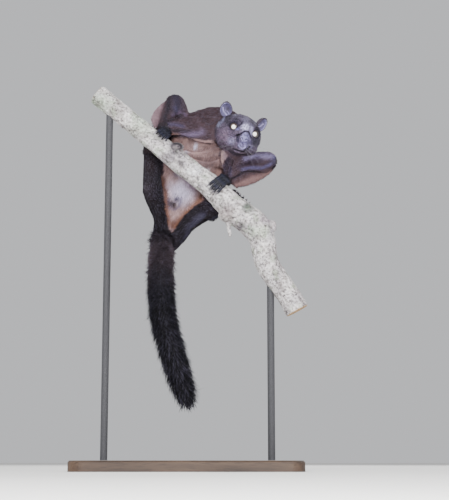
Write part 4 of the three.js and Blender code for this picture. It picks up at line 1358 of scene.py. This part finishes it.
def ear_piece(name, skin, fur, rng):
    """Thin cup with a rolled rim and folds in its hollow, short fur on its back and rim."""
    at, side, turn, scale = EARS[name]
    lean, turn = math.radians(-side * EAR_LEAN), math.radians(side * turn)
    about_y = np.array([[math.cos(turn), 0, math.sin(turn)], [0, 1, 0], [-math.sin(turn), 0, math.cos(turn)]])
    about_z = np.array([[math.cos(lean), -math.sin(lean), 0], [math.sin(lean), math.cos(lean), 0], [0, 0, 1]])
    axes = (about_z @ about_y).T
    profile = spline(EAR_PROFILE, np.linspace(0, 1, EAR_STEPS))
    around = circle(EAR_SIDES)
    rows, folded = [], []
    for number, (reach, height) in enumerate(profile[1:-1], 1):
        reach = max(reach, 0.01)
        # The rim stands higher at its outer edge and has a notch near the head
        wave = 0.7 * np.sin(around + 0.6) * reach**2 - 1.4 * reach**3 * bell(around - 4.5, 0.5)
        fold = np.zeros(EAR_SIDES)
        if number > EAR_BACK:
            flat = reach * np.stack([-side * np.cos(around), np.sin(around)], axis=1)
            for line, wide, high in EAR_FOLDS:
                fold = fold + high * bell(away_from_line(flat, curved(line)), wide)
        x = EAR_HALF[0] * reach * np.cos(around)
        y = EAR_HALF[1] * reach * np.sin(around) * (1 + 0.05 * np.sin(around))
        rows.append(np.stack([x, y, height + wave + fold], axis=1))
        folded.append(fold)
    points = np.vstack([*rows, [[0, 0, profile[0][1]]], [[0, 0, profile[-1][1]]]])
    folded = np.concatenate([*folded, [0, 0]])
    placed = from_head(scale * points @ axes + np.array(at))
    ear = closed_object(f"ear_cup_{name}", placed, loft_faces(len(rows), EAR_SIDES, True))
    reach = np.linalg.norm(points[:, :2] / EAR_HALF, axis=1)
    inside = np.append(np.repeat(np.arange(1, EAR_STEPS - 1), EAR_SIDES) > EAR_BACK, [False, True])
    beside = -side * points[:, 0] / EAR_HALF[0]
    # Painted shade deep in the hollow, painted highlights on its folds, and a painted highlight round the
    # rim, stronger on one side
    deep = np.exp(-(((beside - 0.2) / 0.5) ** 2) - ((points[:, 1] / EAR_HALF[1] - 0.2) / 0.55) ** 2)
    hollow = laid(srgb(122, 116, 138), (66, 60, 74), 0.9 * deep)
    hollow = laid(hollow, (170, 163, 186), 0.9 * smooth_step(0.5, 2.0, folded))
    lit = smooth_step(0.78, 0.92, reach) * mix(0.45, 1.0, smooth_step(0.5, -0.4, beside))
    hollow = laid(hollow, (168, 165, 190), lit)
    colour = mottled(in_coat(np.where(inside[:, None], hollow, srgb(94, 84, 92))), placed, 4, 0.15)
    paint(ear.data, colour)
    fields = {
        "colour": colour,
        "lie": along_skin(from_head(np.array([[0, 1, 0.1]]) @ axes)[0] - HEAD_AT, normals_of(ear.data)),
        "length": np.where(inside, 1.6, 3.0),
        "width": 0.42,
        "per_mm2": np.where(inside, np.where(reach > 0.72, 0.7, 0.12), 1.5),
        "rise": 0.3,
        "bend": 0.16,
        "grizzle": 0.2,
    }
    roots, _ = tuft_roots(ear, fields, rng)
    place_piece(ear, "ear_skin", skin, f"ear_{name}")
    coat_piece(f"coat_ear_{name}", "face_fur", roots, 2, fur)


def along_skin(way, normals):
    """One way for the whole coat, laid along the skin at each vertex."""
    return unit(way - normals * (normals @ way)[:, None])


# Eyes, lids, nose and whiskers

# Pupil, painted white and glowing as an eyeshine: radius, width of its soft edge, radius of the iris, how far
# it looks to its own side
PUPIL = {"radius": 2.65, "edge": 0.4, "iris": 5.2, "aside": 0.18}
NOSE = {"at": (0.9, -14.8, 23.0), "half": (5.7, 4.6, 3.4)}
NOSTRIL_LINE = [(1.8, -1.5), (2.5, 0.2), (3.8, 0.7), (4.8, -0.4)]
NOSTRIL_WING = [(1.8, -3.1), (3.5, -2.7), (4.9, -1.8)]
RING_STEPS, RING_SIDES = 72, 12


def eye_piece(name, side):
    """Glass eye: dark brown, with the wide pupil painted white and glowing, a painted eyeshine as an animal's
    eye shows in a beam of light.
    """
    middle = from_head(eye_axes(side)[0])
    eye = closed_object(f"glass_eye_{name}", *ball(middle, [EYE["radius"]] * 3, HEAD_AXES, 36, 48))
    material, shader = new_material(f"glass_eye_{name}", (0.02, 0.015, 0.012), 0.08)
    # Painted eyeshine: the pupils are painted white and glow towards the viewer, each a little to its own
    # side
    to_viewer = unit(unit(np.array(CAMERA["at"]) - middle) + side * PUPIL["aside"] * HEAD_X)
    pole = middle + to_viewer * EYE["radius"]
    coordinates = add_node(material, "ShaderNodeTexCoord")
    gap = add_node(material, "ShaderNodeVectorMath", operation="DISTANCE")
    gap.inputs[1].default_value = tuple(pole * MM)
    join(material, coordinates, "Object", gap, 0)
    whole = 2 * EYE["radius"]
    share = add_node(material, "ShaderNodeMath", operation="DIVIDE")
    share.inputs[1].default_value = whole * MM
    join(material, gap, "Value", share, 0)
    pupil, edge, iris = (PUPIL[key] for key in ("radius", "edge", "iris"))
    colours = [
        (0.0, (1.0, 1.0, 0.97)),
        (pupil / whole, (0.96, 0.95, 0.9)),
        ((pupil + edge) / whole, (0.30, 0.24, 0.22)),
        ((pupil + 2 * edge) / whole, (0.035, 0.02, 0.016)),
        (iris / whole, (0.05, 0.028, 0.02)),
        ((iris + 0.6) / whole, (0.008, 0.007, 0.008)),
    ]
    # Painted eyeshine: the white of the pupil also glows
    glow = [(0, (0.5, 0.5, 0.48)), (pupil / whole, (0.5, 0.48, 0.45)), ((pupil + edge) / whole, (0, 0, 0))]
    for stops, socket in ((colours, "Base Color"), (glow, "Emission Color")):
        join(material, ramp(material, share, "Value", stops), "Color", shader, socket)
    shader.inputs["Emission Strength"].default_value = 1.0
    set_gloss(shader, 0.08, coat=1.0, coat_roughness=0.02)
    place_piece(eye, "eye", material, f"eye_{name}")


def lid_piece(name, side, material):
    """Closed ring of soft skin round the opening of an eye, thicker above than below."""
    centre, out = eye_axes(side)
    middle = from_head(centre + out * LID["ahead"])
    out = out @ HEAD_AXES
    across = unit(np.cross(HEAD_Y, out))
    up = np.cross(out, across)
    points, faces = [], []
    for angle in circle(RING_STEPS):
        way = across * math.cos(angle) * 1.05 + up * math.sin(angle) * 0.93
        heavy = LID["thick"] * (1 + 0.3 * math.sin(angle))
        for turn in circle(RING_SIDES):
            rim = middle + way * LID["radius"]
            points.append(rim + way * heavy * math.cos(turn) + out * heavy * 0.85 * math.sin(turn))
    for i in range(RING_STEPS):
        a, b = i * RING_SIDES, (i + 1) % RING_STEPS * RING_SIDES
        for k in range(RING_SIDES):
            m = (k + 1) % RING_SIDES
            faces.append((a + k, b + k, b + m, a + m))
    ring = closed_object(f"lid_{name}", points, faces)
    paint(ring.data, mottled(in_coat(srgb(56, 48, 62)), points_of(ring.data), 2.5, 0.2))
    place_piece(ring, "face_fur", material)


def nose_piece(material):
    """Bare nose: a soft pad with a groove down its middle and two comma-shaped nostrils."""
    points, faces = ball((0, 0, 0), NOSE["half"], np.eye(3), 60, 80)
    front = smooth_step(0, 2, points[:, 2])
    flat = np.stack([np.abs(points[:, 0]), points[:, 1]], axis=1)
    pit = bell(away_from_line(flat, curved(NOSTRIL_LINE)), 0.62) * front
    groove = bell(points[:, 0], 0.5) * front * smooth_step(0.5, -1, points[:, 1])
    wing = bell(away_from_line(flat, curved(NOSTRIL_WING)), 1.0) * front
    points[:, 2] += -1.9 * pit - 0.55 * groove + 0.5 * wing
    placed = from_head(points + np.array(NOSE["at"]))
    nose = closed_object("nose", placed, faces)
    pad = np.broadcast_to(srgb(146, 141, 170), placed.shape)
    # Painted shade: the nostrils and the groove are painted dark
    tone = laid(pad, (30, 25, 34), 0.95 * np.clip(pit + 0.4 * groove, 0, 1))
    paint(nose.data, mottled(in_coat(tone), placed, 1.5, 0.12))
    place_piece(nose, "paw_skin", material)


# Whiskers of one side: rows and hairs in each, root of the first, length, radius at root and tip
WHISKERS = {"rows": 4, "each": 3, "root": (6.0, -25, 21), "length": 33, "radius": (0.1, 0.04)}
BROW_HAIRS = {"count": 3, "length": 15}


def whisker_piece(rng, material):
    """Stiff hairs from both sides of the muzzle, and a few over each eye."""
    parts = []
    for side in (-1, 1):
        roots = []
        for row in range(WHISKERS["rows"]):
            for k in range(WHISKERS["each"]):
                root = np.add(WHISKERS["root"], (1.5 * k, 3.4 - 2.3 * row, -1.9 * k))
                way = unit(np.array([1.0, 0.30 - 0.34 * row, 0.1 - 0.14 * k]))
                roots.append((root, way, WHISKERS["length"] * rng.uniform(0.7, 1.1)))
        for k in range(BROW_HAIRS["count"]):
            way = unit(np.array([0.5, 0.9, 0.3 - 0.2 * k]))
            roots.append((np.array([9 + 2 * k, 9.0, 7 - k]), way, BROW_HAIRS["length"]))
        for root, way, length in roots:
            share = np.linspace(0, 1, 9)[:, None]
            droop = np.array([0, -5.0, -7.0]) * share**2 * length / WHISKERS["length"]
            line = from_head((root + way * share * length + droop) * (side, 1, 1))
            parts.append(tube(line, mix(*WHISKERS["radius"], share[:, 0]), 5))
    whiskers = mesh_object("whiskers", *joined(parts))
    paint(whiskers.data, mottled(srgb(96, 90, 104), points_of(whiskers.data), 6, 0.3))
    place_piece(whiskers, "face_fur", material)


# Paws and claws: how each grips the branch. A grip angle is 0 at the front of the branch, 90 on top
# and 180 at the back.

PAWS = {
    # node: wrist or ankle, its half width and depth, x on the branch, angle at knuckles and tips
    "hand_right": ((-41, 5, 485), (8, 7.5), -48, 84, 20),
    "hand_left": ((50, 1, 404), (8, 7.5), 35, 52, -20),
    "foot_right": ((-60, 48, 456), (12, 10), -62, 166, 118),
    "foot_left": ((61, 50, 394), (9, 9), 60, 172, 98),
}
PAW_KINDS = {
    "hand": {"digits": 4, "spread": 5.2, "radius": 2.25, "palm": (9.0, 5)},
    "foot": {"digits": 5, "spread": 5.4, "radius": 2.35, "palm": (11.5, 6)},
}
PAW_VOXEL = 0.6
PALM_SIDES = 20
# Digit: shares of its length, height over the bark there, thickness; its joints: share, swelling
DIGIT_SHARES = (0, 0.3, 0.62, 0.85, 1)
DIGIT_HEIGHTS = (5.2, 4.6, 3.4, 2.8, 2.2)
DIGIT_THICKNESS = (0.86, 1.0, 0.96, 0.9, 0.86)
DIGIT_STEPS = 14
KNUCKLES = [(0.04, 0.30), (0.42, 0.24), (0.74, 0.2)]
# Degrees that the outer digits reach less far
OUTER_SHORT = 9
# Claw: way past the digit's end, height over the bark, radius
CLAW_LINE = [
    (-2.2, 3.0, 1.25), (-0.5, 3.9, 1.2), (1.3, 4.2, 1.02), (3.1, 3.5, 0.74), (4.6, 2.2, 0.46),
    (5.5, 1.0, 0.2),
]
CLAW_STEPS, CLAW_SIDES = 16, 10
CLAW_TIP = 0.12

BRANCH_SHARES = np.linspace(0, 1, 600)
BRANCH_LINE = spline([(x, 0, z) for x, z, _ in BRANCH_AXIS], BRANCH_SHARES)
BRANCH_PLACES = BRANCH_SHARES * (len(BRANCH_AXIS) - 1)
BRANCH_RADII = np.interp(BRANCH_PLACES, range(len(BRANCH_AXIS)), [radius for _, _, radius in BRANCH_AXIS])
BRANCH_WAYS = unit(np.gradient(BRANCH_LINE, axis=0))


def branch_step(x):
    """Number of the step of the branch's line nearest to x."""
    return int(np.argmin(np.abs(BRANCH_LINE[:, 0] - x)))


def on_bark(x, shift, angle, height):
    """Point near the bark: x of the branch's axis there, way along it, angle round it, height over it."""
    k = branch_step(x)
    along = BRANCH_WAYS[k]
    up = np.array([-along[2], 0, along[0]])
    reach = BRANCH_RADII[k] + height
    turn = math.radians(angle)
    way = math.sin(turn) * up - math.cos(turn) * np.array([0, 1, 0])
    return BRANCH_LINE[k] + along * shift + reach * way


def digit_line(kind, x, shift, knuckle, end):
    """Points and radii of a digit that lies round the branch, thicker at its joints."""
    bone, radii = [], []
    for portion in np.linspace(0, 1, DIGIT_STEPS + 1):
        height = np.interp(portion, DIGIT_SHARES, DIGIT_HEIGHTS)
        radius = kind["radius"] * np.interp(portion, DIGIT_SHARES, DIGIT_THICKNESS)
        for at, swell in KNUCKLES:
            radius *= 1 + swell * math.exp(-(((portion - at) / 0.08) ** 2))
        bone.append(on_bark(x, shift * mix(0.78, 1.08, portion), mix(knuckle, end, portion), height))
        radii.append(radius * 0.92)
    return bone, radii


def claw_part(x, shift, end, per_mm):
    """Curved claw at a digit's end; per_mm is the angle of a millimetre round the branch there."""
    line = [on_bark(x, shift * 1.08, end + beyond * per_mm, height) for beyond, height, _ in CLAW_LINE]
    steps = np.linspace(0, 1, CLAW_STEPS)
    thick = np.maximum(number_spline([radius for _, _, radius in CLAW_LINE], steps), CLAW_TIP)
    return tube(spline(line, steps), thick, CLAW_SIDES, 0.72, (0, 1, 0.2))


def paw_pieces(node, leather, horn, fur, rng):
    """One hand or foot: palm and jointed digits round the branch, a curved claw on each."""
    heel, heel_size, x, knuckle, tip = PAWS[node]
    kind = PAW_KINDS[node.split("_")[0]]
    wide, deep = kind["palm"]
    heel = np.array(heel, float)
    knuckles = on_bark(x, 0, knuckle, 6)
    steps = np.linspace(0, 1, 9)
    line = spline([heel, mix(heel, knuckles, 0.55), knuckles], steps)
    sizes = spline([heel_size, (wide, deep), (wide * 1.05, deep * 0.8)], steps)
    parts = [palm_part(line, sizes, BRANCH_WAYS[branch_step(x)])]
    claws, bones = [], []
    half = (kind["digits"] - 1) / 2
    per_mm = math.copysign(180 / (math.pi * BRANCH_RADII[branch_step(x)]), tip - knuckle)
    for digit in range(kind["digits"]):
        shift = (digit - half) * kind["spread"]
        end = tip + abs(digit - half) / half * OUTER_SHORT
        bone, radii = digit_line(kind, x, shift, knuckle, end)
        parts.append(tube(bone, radii, 12, 1.0, (0, 0, 1)))
        pad = on_bark(x, shift * 1.06, mix(knuckle, end, 0.93), 2.2)
        parts.append(ball(pad, [kind["radius"] * 1.05] * 3, np.eye(3), 8, 10))
        bones.append(np.array(bone))
        claws.append(claw_part(x, shift, end, per_mm))
    paw = fused(f"paw_{node}", parts, PAW_VOXEL)
    points = relax(points_of(paw.data), edges_of(paw.data), 3, 0.4)
    set_points(paw.data, points)
    points = points + normals_of(paw.data) * (0.16 * mottling(points, 1.6, 2))[:, None]
    set_points(paw.data, points)
    # Share of the way from the heel to the knuckles
    way = np.linalg.norm(points - heel, axis=1) / np.linalg.norm(knuckles - heel)
    share = smooth_step(0.2, 0.95, way)[:, None]
    joints = np.zeros(len(points))
    for bone in bones:
        for at, _ in KNUCKLES:
            joints += bell(np.linalg.norm(points - bone[int(at * DIGIT_STEPS)], axis=1), 2.4)
    tone = mix(MAROON * 0.6, HAND, share)
    # Painted highlight: the knuckles are painted a paler lilac
    tone = mix(tone, srgb(80, 82, 104), np.clip(joints, 0, 1)[:, None] * 0.5 * share)
    tone = mottled(in_coat(tone), points, 2.2, 0.25)
    paint(paw.data, np.clip(tone, DARKEST, 1))
    hairy = 1 - smooth_step(0.75, 1.3, way)
    fields = {
        "colour": tone,
        "lie": along_skin(unit(knuckles - heel), normals_of(paw.data)),
        "length": mix(2.0, 4.6, hairy),
        "width": 0.5,
        "per_mm2": 0.05 + 1.1 * hairy,
        "rise": 0.26,
        "bend": 0.2,
        "grizzle": 0.08,
    }
    roots, _ = tuft_roots(paw, fields, rng)
    place_piece(paw, "paw_skin", leather, node)
    coat_piece(f"coat_{node}", "paw_skin", roots, 2, fur)
    nails = mesh_object(f"claws_{node}", *joined(claws))
    placed = points_of(nails.data)
    # Share of the way to the tip at each point of a claw's rings and of its two ends
    ends = np.concatenate([np.linspace(0, 1, CLAW_STEPS + 4).repeat(CLAW_SIDES), [0, 1]])
    ends = np.tile(ends, kind["digits"])
    tone = laid(srgb(58, 54, 62), (176, 170, 176), smooth_step(0.2, 0.95, ends))
    paint(nails.data, mottled(tone, placed, 1.2, 0.1))
    place_piece(nails, "paw_skin", horn)


def palm_part(line, sizes, across):
    """Flat loft for the palm, wide along the branch."""
    along = unit(np.gradient(line, axis=0))
    side = unit(across - along * (along @ across)[:, None])
    up = np.cross(along, side)
    turn = circle(PALM_SIDES)[:, None]
    rings = []
    for k, (wide, deep) in enumerate(sizes):
        rings.append(line[k] + wide * np.cos(turn) * side[k] + deep * np.sin(turn) * up[k])
    before = line[0] - along[0] * sizes[0][1] * 0.7
    after = line[-1] + along[-1] * sizes[-1][1] * 0.8
    return np.vstack([*rings, [before], [after]]), loft_faces(len(rings), PALM_SIDES)


# Branch: its bark, and the hollow knot between the animal's arms

BARK_VOXEL = 1.2
BARK_LEAN = 40
HOLLOW = {"at": (-20, -13, 450), "reach": 7.4, "stretch": (1.25, 1, 0.85)}
# Tones under the crust, in pixels of the photo: place, half sizes, colour, strength. The first is painted
# shade in the hollow knot and the second darkens the bark below it; the rest are stains
BARK_TONES = [
    ((176, 146), (9, 8), (96, 88, 100), 0.8),
    ((172, 158), (10, 7), (120, 110, 124), 0.5),
    ((96, 104), (18, 12), (150, 168, 146), 0.7),
    ((140, 128), (14, 9), (176, 190, 168), 0.5),
    ((250, 209), (7, 6), (132, 140, 134), 0.6),
    ((225, 213), (9, 7), (176, 164, 158), 0.6),
    ((262, 232), (11, 7), (168, 184, 160), 0.6),
    ((277, 226), (6, 6), (150, 136, 146), 0.6),
    ((241, 227), (6, 6), (146, 134, 146), 0.6),
    ((200, 172), (16, 8), (214, 210, 206), 0.5),
]
# Lichen, places of wear and a patch of painted shade over the crust, the same way
BARK_PATCHES = [
    ((140, 121), (8, 6), (186, 200, 184), 0.6),
    ((159, 135), (8, 5), (206, 214, 206), 0.5),
    ((173, 155), (8, 6), (96, 90, 98), 0.9),
    ((182, 164), (5, 3.6), (84, 80, 84), 0.85),
    ((194, 170), (8, 5), (240, 242, 252), 0.6),
    ((214, 187), (5, 4), (236, 238, 250), 0.5),
    # Painted shade
    ((227, 209), (7, 7), (134, 124, 128), 0.75),
    ((247, 207), (5, 5), (84, 92, 84), 0.95),
    ((240.5, 226), (5, 4.5), (92, 86, 92), 0.9),
    ((250, 228), (5, 4), (150, 164, 148), 0.6),
    ((266, 220), (7, 4.5), (148, 134, 146), 0.8),
    ((272, 236), (5, 8), (198, 192, 202), 0.5),
    ((281, 258), (6, 9), (132, 124, 128), 0.75),
    ((118, 108), (5, 8), (150, 144, 142), 0.6),
]


def bark_piece():
    """Bark over the branch: knots, fissures along it, pale crust in flakes, and the sawn ends."""
    bark = fused("bark", [node_part("perch_branch")], BARK_VOXEL)
    mesh = bark.data
    edges = edges_of(mesh)
    points = relax(points_of(mesh), edges, 6)
    set_points(mesh, points)
    normals = normals_of(mesh)
    # Nearest of every twelfth step of the branch's line
    away = points[:, None, (0, 2)] - BRANCH_LINE[None, ::12][..., (0, 2)]
    nearest = np.linalg.norm(away, axis=2).argmin(1) * 12
    along = BRANCH_WAYS[nearest]
    run = (points * along).sum(1)
    ridges = mottling(points - along * (run * 0.72)[:, None], 4.5, 3)
    lumps = mottling(points, 16, 2)
    flakes = mottling(points, 3.2, 3)
    ends = (np.abs((normals * along).sum(1)) > 0.8) & ((nearest < 14) | (nearest > 570))
    cut = relax(ends.astype(float), edges, 1)
    height = (0.55 * ridges + 0.9 * lumps + 0.35 * flakes - 0.35) * (1 - cut)
    gap = np.linalg.norm((points - HOLLOW["at"]) / HOLLOW["stretch"], axis=1)
    dip = np.exp(-((gap / 5.6) ** 6))
    height += 1.2 * bell(gap - HOLLOW["reach"], 1.5) - 3.0 * dip
    set_points(mesh, points + normals * height[:, None])
    place = picture_place(points)
    tone = laid(srgb(226, 222, 222), (186, 181, 184), smooth_step(-0.5, 0.9, lumps))
    tone = toned(tone, place, BARK_TONES)
    tone = laid(tone, (112, 104, 100), 0.65 * smooth_step(0.25, -0.7, ridges))
    tone = laid(tone, (156, 170, 148), 0.5 * smooth_step(0.15, 0.6, mottling(points + 70, 13, 3)))
    crust = smooth_step(-0.25, 0.35, mottling(points + 30, 11, 2))
    tone = laid(tone, (74, 68, 74), 0.85 * crust * smooth_step(-0.22, -0.5, flakes))
    # Painted shade in the hollow knot: its dip, the dark ring inside its rim, darker at the top, and its core
    tone = laid(tone, (112, 102, 108), 0.85 * dip)
    upper = smooth_step(-5, 3, ((points - HOLLOW["at"]) @ (0.6, 0, 0.8)))
    tone = laid(tone, (26, 21, 28), bell(gap - 0.8 * HOLLOW["reach"], 1.5) * mix(0.55, 1.0, upper))
    core = bell(np.linalg.norm(points - HOLLOW["at"] - (3, 0, 0.5), axis=1), 2.0)
    tone = laid(tone, (52, 46, 58), 0.9 * core)
    # Patches of lichen and wear, and one of painted shade
    lichen_wear_and_shade = toned(tone, place, BARK_PATCHES)
    tone = mix(tone, lichen_wear_and_shade, np.clip(0.9 + 1.1 * mottling(points + 90, 6, 3), 0, 1)[:, None])
    rings = 0.5 + 0.5 * np.sin(np.linalg.norm(points - BRANCH_LINE[nearest], axis=1) * 2.6 + 1.5 * lumps)
    tone = mix(tone, laid(srgb(212, 182, 140), (168, 128, 88), rings), cut[:, None])
    paint(mesh, np.clip(tone, DARKEST, 1))
    place_piece(bark, "bark", bark_material(), "perch_branch")


def bark_material():
    material, shader = new_material("bark", (0.4, 0.38, 0.35), 0.9)
    specks = object_noise(material, 330, 4, roughness=0.65)
    dark = [(0.36, (0.22, 0.2, 0.21)), (0.45, (0.74, 0.73, 0.73)), (0.58, 1.0), (0.7, (1.22, 1.21, 1.2))]
    colour = darkened(material, stored_colour(material), "Color", specks, dark, 0.95)
    grain = object_noise(material, 260, 4, (0.35, 1, 1), BARK_LEAN)
    streaks = [(0.36, (0.7, 0.68, 0.66)), (0.56, 1.0)]
    colour = darkened(material, colour, MIX_RESULT, grain, streaks, 0.8)
    join(material, colour, MIX_RESULT, shader, "Base Color")
    coarse = bump(material, shader, grain, 0.7, 1.2)
    bump(material, shader, specks, 0.8, 0.7, coarse)
    set_gloss(shader, 0.9, 0.25)
    return material


# Stand

def wood_material():
    """Dark stained wood of the base, with its grain along it."""
    wood, shader = new_material("stained_wood", (0.05, 0.03, 0.02), 0.4)
    grain = object_noise(wood, 70, 5, (0.12, 1, 1))
    stops = [(0.3, (0.022, 0.013, 0.009)), (0.5, (0.06, 0.035, 0.022)), (0.7, (0.10, 0.062, 0.04))]
    tone = ramp(wood, grain, "Fac", stops)
    pores = object_noise(wood, 900, 2, (0.06, 1, 1))
    both = darkened(wood, tone, "Color", pores, [(0.36, (0.45, 0.42, 0.4)), (0.46, 1.0)], 0.8)
    join(wood, both, MIX_RESULT, shader, "Base Color")
    bump(wood, shader, pores, 0.25, 0.3)
    set_gloss(shader, 0.55, 0.35, coat=0.06, coat_roughness=0.5)
    return wood


def steel_material():
    """Matt black painted steel of the rods."""
    steel, shader = new_material("painted_steel", (0.05, 0.05, 0.055), 0.5)
    brushed = object_noise(steel, 900, 4)
    tone = ramp(steel, brushed, "Fac", [(0.3, (0.036, 0.036, 0.04)), (0.7, (0.062, 0.062, 0.068))])
    join(steel, tone, "Color", shader, "Base Color")
    bump(steel, shader, brushed, 0.2, 0.15)
    set_gloss(shader, 0.62, 0.25)
    return steel


def stand_materials():
    wood, steel = wood_material(), steel_material()
    for node, material in (("stand_base", wood), ("stand_rod_left", steel), ("stand_rod_right", steel)):
        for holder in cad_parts[node].material_slots:
            holder.link = "OBJECT"
            holder.material = material


def build():
    rng = np.random.default_rng(7)
    fur = fur_material()
    hide = hide_material()
    leather = leather_material("leather", 0.6, 0.3, 0.04, 1100)
    damp = leather_material("damp_nose", 0.36, 0.5, 0.35, 1600)
    horn = leather_material("horn", 0.34, 0.5, 0.3, 700)
    ear_skin = leather_material("ear_hide", 0.62, 0.35, 0.0, 900)
    skin, region = skin_object()
    place_piece(skin, "back_fur", hide, *SKIN_NODES, "tail_1", "tail_2", "tail_3", "tail_4")
    body_coat(skin, region, rng, fur)
    for name in EARS:
        ear_piece(name, ear_skin, fur, rng)
    for name, side in (("right", -1), ("left", 1)):
        eye_piece(name, side)
        lid_piece(name, side, hide)
    nose_piece(damp)
    whisker_piece(rng, horn)
    for node in PAWS:
        paw_pieces(node, leather, horn, fur, rng)
    bark_piece()
    stand_materials()


camera()
stage()
build()
